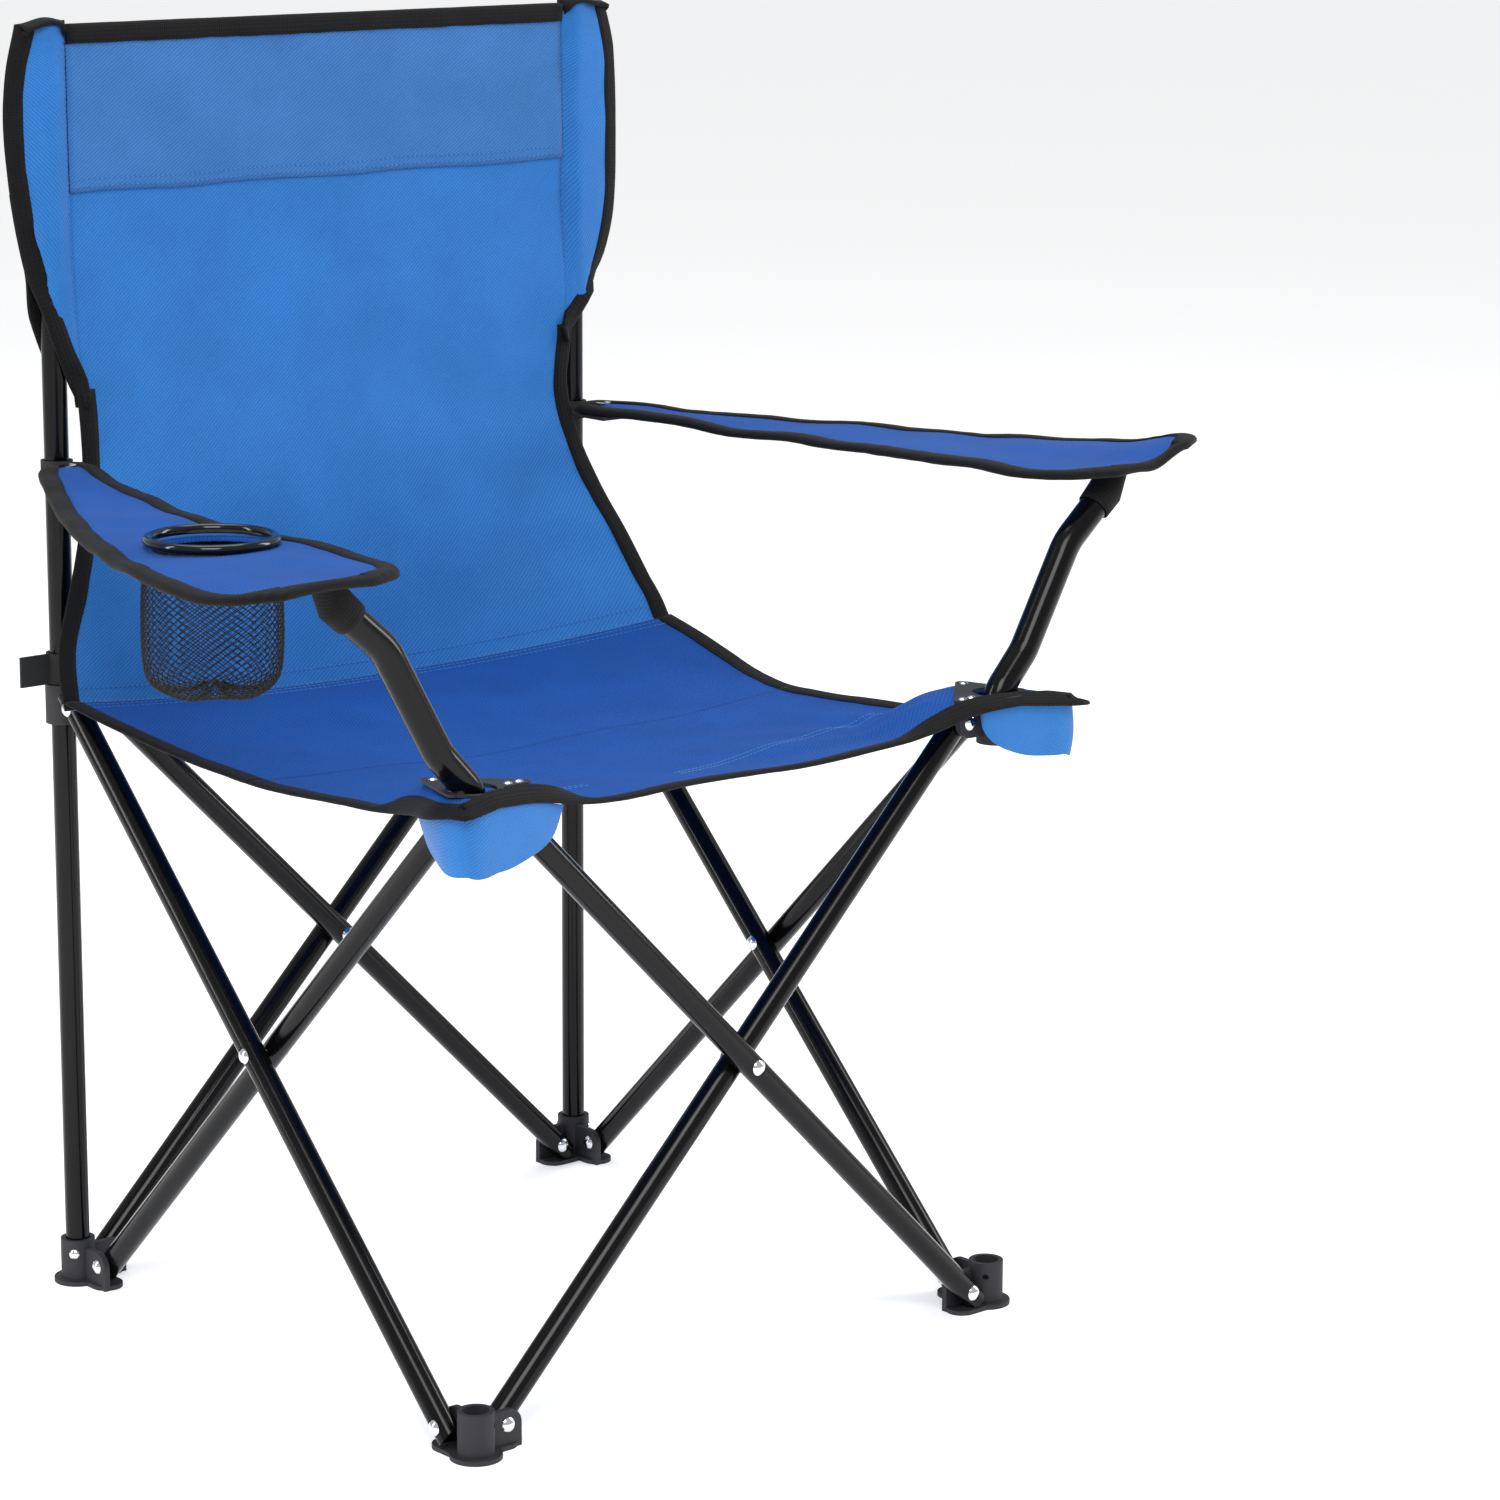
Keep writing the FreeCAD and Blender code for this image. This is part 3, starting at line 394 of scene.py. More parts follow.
TAPE_SECTION = [(1.0, 0.75), (0.97, 1.15), (0.55, 1.45), (0.15, 1.5), (-0.08, 1.25), (-0.2, 0.6),
                (-0.22, 0.0), (-0.2, -0.6), (-0.08, -1.25), (0.15, -1.5), (0.55, -1.45),
                (0.97, -1.15), (1.0, -0.75)]


def tape(name, edge, body, closed=False, wall=1.0):
    """Binding tape folded over an edge of cloth that is wall millimetres thick."""
    width = bpy.context.scene.camp_chair_trim.tape_width / MM
    travelled = [0.0]
    for a, b in zip(edge, edge[1:]):
        travelled.append(travelled[-1] + (b[0] - a[0]).length)
    around, along = len(TAPE_SECTION), len(edge) - 1

    def place(s, t):
        point, inner, out = edge[min(int(round(t * along)), along)]
        k = int(round(s * around)) % around
        a, b = TAPE_SECTION[k]
        wave = 1.0 + 0.05 * noise.noise(Vector(point) / 14.0)
        thick = (0.9 + wall / 2.0) / 1.2 * (1.0 + 0.1 * noise.noise(point / 9.0))
        return point + inner * (a * width * wave) + out * (b * thick)

    bm = grid(around, along, place, 2.4 * width, travelled[-1], wrap=True)
    if not closed:
        ends = [e for e in bm.edges if e.is_boundary]
        bmesh.ops.holes_fill(bm, edges=ends, sides=0)
    bmesh.ops.recalc_face_normals(bm, faces=bm.faces)
    return finish_piece(name, bm, body, "black_binding")


def stitches(name, lines, body, material="blue_thread"):
    """Rows of short stitches that lie on a sheet; each line is a list of (point, normal)."""
    trim = bpy.context.scene.camp_chair_trim
    pitch, length = trim.stitch_pitch / MM, trim.stitch_length / MM
    bm = bmesh.new()
    for line in lines:
        left = 0.0
        for (a, normal), (b, unused) in zip(line, line[1:]):
            run = b - a
            reach = run.length
            while left < reach:
                middle = a + run * (left / reach)
                across = run.cross(normal).normalized()
                up = across.cross(run).normalized()
                turn = Matrix((across, up, run.normalized())).transposed().to_4x4()
                turn.translation = metres(middle + normal * 0.55)
                bmesh.ops.create_cone(bm, cap_ends=True, segments=6, radius1=0.38 * MM, radius2=0.38 * MM,
                                      depth=length * MM, matrix=turn)
                left += pitch
            left -= reach
    return finish_piece(name, bm, body, material)


def on_sheet(shape, path, side=1.0):
    """Line of (point, normal) on a sheet along a path of (s, t)."""
    line = []
    for s, t in path:
        point = Vector(shape(s, t))
        across = Vector(shape(s + 0.004, t)) - Vector(shape(s - 0.004, t))
        along = Vector(shape(s, t + 0.004)) - Vector(shape(s, t - 0.004))
        line.append((point, across.cross(along).normalized() * side))
    return line


def steps(first, last, count):
    return [mix(first, last, i / count) for i in range(count + 1)]


def cut(width_at, first, last, less=0.0):
    """Flat size and area of a piece as it is cut, without hems: width_at(place) is its width from the
    place first to the place last, and less is what is cut away, in square millimetres."""
    rows = [width_at(place) for place in steps(first, last, 120)]
    length = abs(last - first)
    area = (sum(rows) - (rows[0] + rows[-1]) / 2.0) / 120 * length - less
    return {"flat": (max(rows) * MM, length * MM), "area": area * MM * MM}


def seat_width(y):
    return 2.0 * HALF + smooth(SEAT_LEFT, y) + smooth(SEAT_RIGHT, y)


def seat_front_cut():
    """The front edge is hollow, and each arm post has its hole."""
    edge = seat_front_edge(1.0)
    hollow = (seat_front_edge(0.0) - edge) * 2.0 / 3.0 * seat_width(edge)
    return cut(seat_width, edge, SPLIT_Y, less=hollow + 2.0 * math.pi * POST_HOLE ** 2)


def seam_mean(axis):
    """Mean place of the seam between seat and back along Y (1) or Z (2)."""
    return (seam_point(-1.0)[axis] + 4.0 * seam_point(0.0)[axis] + seam_point(1.0)[axis]) / 6.0


def seat_rear_cut():
    seam_width = seam_point(1.0)[0] - seam_point(-1.0)[0]
    last = seam_point(0.0)[1]

    def width(y):
        return mix(seat_width(y), seam_width, ((y - SPLIT_Y) / (last - SPLIT_Y)) ** 2)

    return cut(width, SPLIT_Y, last, less=(last - seam_mean(1)) * seam_width)


def back_width(z):
    return smooth(BACK_RIGHT_X, z) - smooth(BACK_LEFT_X, z)


def back_cut():
    first = seam_point(0.0)[2]
    return cut(back_width, first, TOP_Z, less=(seam_mean(2) - first) * back_width(first))


def sleeve_cut(side, layer):
    """Width of a sleeve's layer as a taut line from the seam over the tube to the outer edge."""
    low = (WAIST_RIGHT_Z if side > 0 else WAIST_LEFT_Z) - 4.0 + (0.0 if layer > 0 else 20.0)

    def width(z):
        out = smooth(SLEEVE_OUT[side], z)
        if out <= 0.0:
            return max(1.0, SEAM_INSIDE + out)
        return math.hypot(SEAM_INSIDE, TUBE) + math.hypot(out, TUBE)

    return cut(width, low, TOP_Z)


def arm_cut(hole):
    return cut(lambda y: smooth(ARM_OUTER, y) - smooth(ARM_INNER, y), -238.0, 200.0, less=hole)


def pocket_cut(side):
    """The flap is cut as deep at each place along its top edge as it hangs."""
    corners = [Vector(row[1]) for row in POCKET_PATH[side]]
    length = sum((b - a).length for a, b in zip(corners, corners[1:]))
    return cut(lambda place: pocket_depth(side, place / length), 0.0, length)


def fold_seat(piece):
    """Give the piece a mesh of its own."""
    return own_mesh(piece)


def fold_back(piece):
    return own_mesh(piece)


def fold_arm(piece):
    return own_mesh(piece)


# ---------------------------------------------------------------- materials

def add(tree, kind, links=None, inputs=None, **settings):
    """Add a node with its settings, its inputs' values and the sockets that feed it."""
    made = tree.nodes.new(kind)
    for key, value in settings.items():
        setattr(made, key, value)
    for key, value in (inputs or {}).items():
        made.inputs[key].default_value = value
    for key, socket in (links or {}).items():
        tree.links.new(socket, made.inputs[key])
    return made


def start(name):
    """Empty material with its output and its tree."""
    material = bpy.data.materials.new(name)
    material.use_nodes = True
    tree = material.node_tree
    tree.nodes.clear()
    return tree, add(tree, "ShaderNodeOutputMaterial")


def stain(tree, coordinate, colour, darker, scale, low=0.35, high=0.68):
    """Colour that drifts towards a darker one in soft patches."""
    patch = add(tree, "ShaderNodeTexNoise", {"Vector": coordinate},
                {"Scale": scale, "Detail": 4.0, "Roughness": 0.6})
    ramp = add(tree, "ShaderNodeMapRange", {"Value": patch.outputs["Fac"]},
               {"From Min": low, "From Max": high})
    blend = add(tree, "ShaderNodeMix", {"Factor": ramp.outputs["Result"]}, data_type="RGBA")
    blend.inputs[6].default_value = colour
    blend.inputs[7].default_value = darker
    return blend.outputs[2]


def woven(name, colour, pitch, depth, roughness, sheen, angle=0.9, weave_shade=0.16):
    """Woven polyester: diagonal yarn lines from the cloth's own UV map, uneven yarn, painted shade in the
    weave's valleys with painted light on its ridges, and a soft sheen that lightens the cloth where it turns
    away."""
    tree, output = start(name)
    uv = add(tree, "ShaderNodeUVMap", uv_map="weave").outputs["UV"]
    turned = add(tree, "ShaderNodeMapping", {"Vector": uv})
    turned.inputs["Rotation"].default_value = (0.0, 0.0, angle)
    # a band of the wave texture is 0.314 / scale long
    twill = add(tree, "ShaderNodeTexWave", {"Vector": turned.outputs["Vector"]},
                {"Scale": 0.314 / (pitch * MM), "Distortion": 1.2, "Detail": 2.0, "Detail Scale": 2.0})
    yarn = add(tree, "ShaderNodeTexNoise", {"Vector": uv},
               {"Scale": 1.0 / (0.9 * pitch * MM), "Detail": 2.0, "Roughness": 0.7})
    cloth = stain(tree, uv, colour, tuple(0.86 * c for c in colour[:3]) + (1.0,), 14.0)
    height = add(tree, "ShaderNodeMath", {0: twill.outputs["Fac"], 1: yarn.outputs["Fac"]}, operation="ADD")
    # the base colour is darker in the weave's valleys and lighter on its ridges, following the bump's height:
    # painted shade and light
    shade_by_height = add(tree, "ShaderNodeMapRange", {"Value": height.outputs["Value"]},
                 {"From Min": 0.5, "From Max": 1.5, "To Min": 1.0 - weave_shade, "To Max": 1.0 + weave_shade})
    shaded_colour = add(tree, "ShaderNodeVectorMath", {0: cloth, 3: shade_by_height.outputs["Result"]}, operation="SCALE")
    bump = add(tree, "ShaderNodeBump", {"Height": height.outputs["Value"]},
               {"Strength": 0.55, "Distance": depth * MM})
    shader = add(tree, "ShaderNodeBsdfPrincipled",
                 {"Base Color": shaded_colour.outputs["Vector"], "Normal": bump.outputs["Normal"]},
                 {"Roughness": roughness, "Sheen Weight": sheen, "Sheen Roughness": 0.45,
                  "Specular IOR Level": 0.15})
    tree.links.new(shader.outputs["BSDF"], output.inputs["Surface"])


def ribbed(name, colour, pitch, depth, weave_shade):
    """Black woven tape or webbing: ribs across it, a second finer yarn along it, dull, with painted shade
    between the ribs.
    """
    tree, output = start(name)
    place = add(tree, "ShaderNodeTexCoord").outputs["Object"]
    if name == "black_binding":
        place = add(tree, "ShaderNodeUVMap", uv_map="weave").outputs["UV"]
    ribs = add(tree, "ShaderNodeTexWave", {"Vector": place},
               {"Scale": 0.314 / (pitch * MM), "Distortion": 0.8, "Detail": 1.0}, bands_direction="Y")
    yarn = add(tree, "ShaderNodeTexWave", {"Vector": place},
               {"Scale": 0.314 / (0.8 * pitch * MM), "Distortion": 1.0, "Detail": 1.0}, bands_direction="X")
    height = add(tree, "ShaderNodeMath", {0: ribs.outputs["Fac"], 1: yarn.outputs["Fac"]},
                 operation="MULTIPLY")
    # the colour is darker in the valleys between ribs and lighter on their tops, following the bump's height:
    # painted shade and light
    shade_by_height = add(tree, "ShaderNodeMapRange", {"Value": height.outputs["Value"]},
                 {"To Min": 1.0 - weave_shade, "To Max": 1.0 + weave_shade})
    base = stain(tree, place, colour, tuple(0.7 * c for c in colour[:3]) + (1.0,), 60.0)
    shaded_colour = add(tree, "ShaderNodeVectorMath", {0: base, 3: shade_by_height.outputs["Result"]}, operation="SCALE")
    bump = add(tree, "ShaderNodeBump", {"Height": height.outputs["Value"]},
               {"Strength": 0.8, "Distance": depth * MM})
    shader = add(tree, "ShaderNodeBsdfPrincipled",
                 {"Base Color": shaded_colour.outputs["Vector"], "Normal": bump.outputs["Normal"]},
                 {"Roughness": 0.78, "Sheen Weight": 0.03, "Sheen Roughness": 0.5, "Specular IOR Level": 0.2})
    tree.links.new(shader.outputs["BSDF"], output.inputs["Surface"])


def moulded(name, colour, roughness, grain, depth, coat=0.0, metallic=0.0, darker=0.75):
    """Painted, moulded or plated surface: fine grain in the bump, and a roughness that drifts with
    handling."""
    tree, output = start(name)
    place = add(tree, "ShaderNodeTexCoord").outputs["Object"]
    base = stain(tree, place, colour, tuple(darker * c for c in colour[:3]) + (1.0,), 25.0)
    fine = add(tree, "ShaderNodeTexNoise", {"Vector": place}, {"Scale": 1.0 / (grain * MM), "Detail": 3.0})
    wear = add(tree, "ShaderNodeTexNoise", {"Vector": place},
               {"Scale": 45.0, "Detail": 5.0, "Roughness": 0.65})
    gloss = add(tree, "ShaderNodeMapRange", {"Value": wear.outputs["Fac"]},
                {"From Min": 0.3, "From Max": 0.75, "To Min": roughness * 0.8, "To Max": roughness * 1.3})
    bump = add(tree, "ShaderNodeBump", {"Height": fine.outputs["Fac"]},
               {"Strength": 0.5, "Distance": depth * MM})
    shader = add(tree, "ShaderNodeBsdfPrincipled",
                 {"Base Color": base, "Roughness": gloss.outputs["Result"], "Normal": bump.outputs["Normal"]},
                 {"Metallic": metallic, "Coat Weight": coat, "Coat Roughness": 0.12,
                  "Specular IOR Level": 0.5 if metallic else 0.22})
    tree.links.new(shader.outputs["BSDF"], output.inputs["Surface"])


# ---------------------------------------------------------------- settings

class CampChairCloth(bpy.types.PropertyGroup):
    """Cloth colours and weave."""
    cloth: bpy.props.FloatVectorProperty(name="Cloth", description="Blue polyester of seat and back",
                                         subtype="COLOR", size=4, min=0.0, max=1.0, default=linear("#2f75bf"))
    head: bpy.props.FloatVectorProperty(name="Head panel", description="Double layer at the head",
                                        subtype="COLOR", size=4, min=0.0, max=1.0, default=linear("#3b72b2"))
    # the seat colour is the back's blue cloth darkened: painted shade for the level seat, which takes less
    # light
    seat: bpy.props.FloatVectorProperty(name="Seat", description="Seat cloth, seen from above",
                                        subtype="COLOR", size=4, min=0.0, max=1.0, default=linear("#154e9d"))
    twill: bpy.props.FloatProperty(name="Twill pitch", description="From one diagonal yarn line to the next",
                                   subtype="DISTANCE", unit="LENGTH", default=0.0021, min=0.0005, max=0.01)


class CampChairTrim(bpy.types.PropertyGroup):
    """Binding, stitching and net."""
    tape_width: bpy.props.FloatProperty(name="Binding width", description="Seen width of the edge tape",
                                        subtype="DISTANCE", unit="LENGTH",
                                        default=0.0105, min=0.004, max=0.02)
    stitch_pitch: bpy.props.FloatProperty(name="Stitch pitch", description="From one stitch to the next",
                                          subtype="DISTANCE", unit="LENGTH",
                                          default=0.0039, min=0.002, max=0.01)
    stitch_length: bpy.props.FloatProperty(name="Stitch length", description="Seen length of a stitch",
                                           subtype="DISTANCE", unit="LENGTH",
                                           default=0.0027, min=0.001, max=0.008)
    net_cells: bpy.props.IntProperty(name="Net cells", description="Diamonds round the cup net",
                                     default=42, min=24, max=90)
    net_cord: bpy.props.FloatProperty(name="Net cord", description="Thickness of the net's cord",
                                      subtype="DISTANCE", unit="LENGTH",
                                      default=0.0009, min=0.0004, max=0.003)


class CampChairFinish(bpy.types.PropertyGroup):
    """Colours of tubes, plastic and rivets."""
    paint: bpy.props.FloatVectorProperty(name="Tube paint", description="Black powder coat",
                                         subtype="COLOR", size=4, min=0.0, max=1.0, default=linear("#08080a"))
    plastic: bpy.props.FloatVectorProperty(name="Plastic", description="Black moulded polypropylene",
                                           subtype="COLOR", size=4, min=0.0, max=1.0,
                                           default=linear("#0f0f11"))
    binding: bpy.props.FloatVectorProperty(name="Binding", description="Black edge tape and webbing",
                                           subtype="COLOR", size=4, min=0.0, max=1.0,
                                           default=linear("#0e0e10"))
    rivet: bpy.props.FloatVectorProperty(name="Rivets", description="Bright plated steel",
                                         subtype="COLOR", size=4, min=0.0, max=1.0, default=linear("#dcdde0"))


# ---------------------------------------------------------------- operators

class CAMPCHAIR_OT_finishes(bpy.types.Operator):
    """Make the materials and give them to the frame"""
    bl_idname = "camp_chair.finishes"
    bl_label = "Finishes"

    def execute(self, context):
        cloth, paint = context.scene.camp_chair_cloth, context.scene.camp_chair_finish
        pitch = cloth.twill / MM
        woven("blue_back", tuple(cloth.cloth), pitch, 0.35, 0.7, 0.06)
        woven("blue_head", tuple(cloth.head), pitch, 0.35, 0.7, 0.08)
        # seat and arm rests take the darker seat colour: painted shade on the same blue cloth as the back
        woven("blue_seat", tuple(cloth.seat), pitch, 0.35, 0.8, 0.02)
        woven("blue_arm", tuple(cloth.seat), pitch, 0.35, 0.75, 0.04)
        woven("blue_pocket", tuple(cloth.cloth), pitch, 0.3, 0.5, 0.1, weave_shade=0.1)
        woven("blue_thread", tuple(1.25 * c for c in cloth.cloth[:3]) + (1.0,), 0.7, 0.1, 0.6, 0.2)
        # the tape's ribs are 1.6 mm apart, drawn a little coarser than real grosgrain
        ribbed("black_binding", tuple(paint.binding), 1.6, 0.35, 0.35)
        ribbed("black_webbing", tuple(paint.binding), 2.2, 0.5, 0.4)
        # powder coat on steel tube: semi-gloss with a fine orange peel
        moulded("black_paint", tuple(paint.paint), 0.16, 1.6, 0.004)
        # moulded polypropylene: satin with a spark-eroded grain
        moulded("black_plastic", tuple(paint.plastic), 0.42, 0.7, 0.06)
        # glossy moulded hoop of the cup holder
        moulded("gloss_plastic", tuple(paint.paint), 0.12, 2.5, 0.01, coat=0.4)
        # zinc-plated steel rivet heads, lightly scratched
        moulded("bright_rivet", tuple(paint.rivet), 0.22, 0.6, 0.02, metallic=1.0, darker=0.85)
        moulded("black_net", tuple(paint.binding), 0.6, 0.5, 0.08)
        finishes = {"black_tube": "black_paint", "black_plastic": "black_plastic",
                    "bright_rivet": "bright_rivet", "black_webbing": "black_webbing",
                    "gloss_black_plastic": "gloss_plastic"}
        slots = {part["node"]: part["material_slot"] for part in frame["record"]["subparts"]}
        for name, thing in frame["nodes"].items():
            if slots[name] in finishes:
                for holder in thing.material_slots:
                    holder.material = bpy.data.materials[finishes[slots[name]]]
        return {"FINISHED"}


class CAMPCHAIR_OT_seat(bpy.types.Operator):
    """Make the seat cloth, its binding, its seams and its corner pockets"""
    bl_idname = "camp_chair.seat"
    bl_label = "Seat"

    def execute(self, context):
        bm = grid(110, 56, seat_front, 478.0, 232.0)
        for side in (-1.0, 1.0):
            punch(bm, side * HALF, -HALF, POST_HOLE)
        front = finish_piece("seat_front_cloth", bm, "seat_front", "blue_seat", CLOTH_WALL)
        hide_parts("seat_front_panel")
        seat_front_cut()
        bm = grid(110, 44, seat_rear, 478.0, 190.0)
        rear = finish_piece("seat_rear_cloth", bm, "seat_rear", "blue_seat", CLOTH_WALL)
        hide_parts("seat_rear_panel")
        seat_rear_cut()
        edge = ([(0.0, t, 1.0, 0.0) for t in steps(1.0, 0.03, 50)] + [(0.0, 0.0, 1.0, 1.0)]
                + [(s, 0.0, 0.0, 1.0) for s in steps(0.012, 0.988, 110)] + [(1.0, 0.0, -1.0, 1.0)]
                + [(1.0, t, -1.0, 0.0) for t in steps(0.03, 1.0, 50)])
        made = [(front, "seat_front_turn"), (rear, "seat_rear_turn")]
        made.append((tape("seat_front_binding", frames(seat_front, edge), "seat_front"), "seat_front_turn"))
        for name, s, inward in (("seat_left_binding", 0.0, 1.0), ("seat_right_binding", 1.0, -1.0)):
            path = [(s, t, inward, 0.0) for t in steps(0.0, 1.0, 44)]
            made.append((tape(name, frames(seat_rear, path), "seat_rear"), "seat_rear_turn"))
        corner_lines = []
        for first, last in (((0.47, 0.27), (0.945, 0.52)), ((0.055, 0.46), (0.33, 0.33))):
            for lag in (0.0, 0.03):
                path = [(mix(first[0], last[0], k), mix(first[1], last[1], k) - lag)
                        for k in steps(0.0, 1.0, 60)]
                corner_lines.append(on_sheet(seat_front, path))
        made.append((stitches("seat_corner_stitches", corner_lines, "seat_front"), "seat_front_turn"))
        seam_lines = [on_sheet(seat_rear, [(s, t) for s in steps(0.02, 0.98, 120)]) for t in (0.975, 0.94)]
        made.append((stitches("seat_seam_stitches", seam_lines, "seat_rear"), "seat_rear_turn"))
        for piece, joint in made:
            fold_seat(piece)
        for side, name in ((-1, "left"), (1, "right")):
            flap = finish_piece(name + "_pocket_cloth",
                                grid(48, 26, lambda s, t, side=side: pocket(side, s, t), 150.0, 45.0),
                                "front_%s_hub" % name, "blue_pocket", CLOTH_WALL)
            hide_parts(name + "_corner_pocket")
            pocket_cut(side)
        return {"FINISHED"}


class CAMPCHAIR_OT_back(bpy.types.Operator):
    """Make the back panel, the head panel, the two sleeves, their binding and their seams"""
    bl_idname = "camp_chair.back"
    bl_label = "Back"

    def execute(self, context):
        panel = finish_piece("back_cloth", grid(100, 110, back, 450.0, 445.0), "rear_left_leg",
                             "blue_back", CLOTH_WALL)
        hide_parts("back_panel")
        back_cut()
        top = finish_piece("head_cloth", grid(80, 26, head, 405.0, 114.0), "rear_left_leg",
                           "blue_head", CLOTH_WALL)
        cut(back_width, HEAD_LOW_Z, TOP_Z)
        made = [panel, top]
        for name, s, inward, low in (("back_left_binding", 0.0, 1.0, WAIST_LEFT_Z),
                                     ("back_right_binding", 1.0, -1.0, WAIST_RIGHT_Z)):
            last = (low + 8.0 - BACK_LOW_Z) / (TOP_Z - BACK_LOW_Z)
            path = [(s, t, inward, 0.0) for t in steps(0.0, last, 60)]
            made.append(tape(name, frames(back, path), "rear_left_leg"))

        def both_layers(s, t):
            x, y, z = back(s, t)
            return x, y - 1.0, z

        path = [(s, 1.0, 0.0, -1.0) for s in steps(0.0, 1.0, 80)]
        made.append(tape("back_top_binding", frames(both_layers, path), "rear_left_leg", wall=4.0))
        lines = [on_sheet(head, [(s, t) for s in steps(0.01, 0.99, 120)]) for t in (0.03, 0.075)]
        made.append(stitches("head_stitches", lines, "rear_left_leg"))
        lines = [on_sheet(back, [(s, t) for s in steps(0.015, 0.985, 120)]) for t in (0.012, 0.03)]
        made.append(stitches("seat_back_stitches", lines, "rear_left_leg"))
        for piece in made:
            fold_back(piece)
        for side, name, leg in ((-1, "left", "rear_left_leg"), (1, "right", "rear_right_leg")):
            self.sleeve(side, name, leg)
        return {"FINISHED"}

    def sleeve(self, side, name, leg):
        """Two layers round an upright, the tape down their edge and the seam beside the panel."""
        for layer, part in ((1, "front"), (-1, "rear")):
            bm = grid(34, 74, lambda s, t: sleeve_point(side, layer, s, t), 52.0, 240.0)
            if side * layer < 0:
                bmesh.ops.reverse_faces(bm, faces=bm.faces)
            piece = finish_piece("%s_sleeve_%s" % (name, part), bm, leg, "blue_back",
                                 CLOTH_WALL)
            sleeve_cut(side, layer)
        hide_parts(name + "_back_sleeve")
        for layer, part in ((1, "front"), (-1, "rear")):
            last = 1.0 if layer > 0 else 0.34
            path = [(1.0, t, -1.0, 0.0) for t in steps(0.0, last, 60)]
            if layer > 0:
                path += [(s, 1.0, 0.0, -1.0) for s in steps(0.97, 0.0, 16)]
            shape = lambda s, t: sleeve_point(side, layer, s, t)
            tape("%s_sleeve_%s_binding" % (name, part), frames(shape, path), leg)
        path = [(0.04, t) for t in steps(0.14, 0.97, 90)]
        lines = [on_sheet(lambda s, t: sleeve_point(side, 1, s, t), path, float(side))]
        stitches(name + "_sleeve_stitches", lines, leg)


class CAMPCHAIR_OT_arms(bpy.types.Operator):
    """Make the arm rests with their binding and the cups that hold the arm posts"""
    bl_idname = "camp_chair.arms"
    bl_label = "Arm Rests"

    def execute(self, context):
        for side, name in ((-1, "left"), (1, "right")):
            shape = lambda s, t: arm(side, s, t)
            bm = grid(46, 120, shape, 130.0, 445.0)
            if side > 0:
                bmesh.ops.reverse_faces(bm, faces=bm.faces)
            if side < 0:
                punch(bm, CUP_X, CUP_Y, CUP_HOLE)
            rest = finish_piece(name + "_arm_cloth", bm, name + "_arm", "blue_arm", ARM_WALL)
            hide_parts(name + "_arm_rest")
            hole = math.pi * CUP_HOLE ** 2 if side < 0 else 0.0
            arm_cut(hole)
            edge = ([(0.0, t, 1.0, 0.0) for t in steps(0.02, 0.975, 110)] + [(0.0, 1.0, 1.0, -1.0)]
                    + [(s, 1.0, 0.0, -1.0) for s in steps(0.06, 0.94, 24)] + [(1.0, 1.0, -1.0, -1.0)]
                    + [(1.0, t, -1.0, 0.0) for t in steps(0.975, 0.02, 110)] + [(1.0, 0.0, -1.0, 1.0)]
                    + [(s, 0.0, 0.0, 1.0) for s in steps(0.9, 0.1, 10)] + [(0.0, 0.0, 1.0, 1.0)])
            rows = frames(shape, edge)
            rows.append(rows[0])
            rim = tape(name + "_arm_binding", rows, name + "_arm", closed=True, wall=ARM_WALL)
            for piece in (rest, rim, self.post_cup(side, name)):
                fold_arm(piece)
        return {"FINISHED"}

    def post_cup(self, side, name):
        """Webbing cup sewn under the arm rest, round the top of the arm post."""
        low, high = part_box(name + "_arm_post_cap")
        y = 500.0 * (low.y + high.y) - SHIFT
        lean = Vector((side * 0.74, 0.0, 0.67))
        across = Vector((side * 0.67, 0.0, -0.74))
        centre = Vector((side * 308.0, y, 500.0 * (low.z + high.z)))
        under = arm(side, 0.35, (200.0 - y) / 438.0)[2] - 1.0

        def wall(s, t):
            turn = 2.0 * math.pi * s
            ring = across * math.cos(turn) + Vector((0.0, 1.0, 0.0)) * math.sin(turn)
            start = centre - lean * 9.0 + ring * 10.6
            middle = centre + lean * 5.0 + ring * 11.2
            end = Vector((middle.x + side * 7.0, middle.y, under))
            return start.lerp(middle, t / 0.4) if t < 0.4 else middle.lerp(end, (t - 0.4) / 0.6)

        bm = grid(28, 10, wall, 78.0, 24.0, wrap=True)
        bmesh.ops.recalc_face_normals(bm, faces=bm.faces)
        return finish_piece(name + "_post_cup", bm, name + "_arm", "black_binding", 1.0)


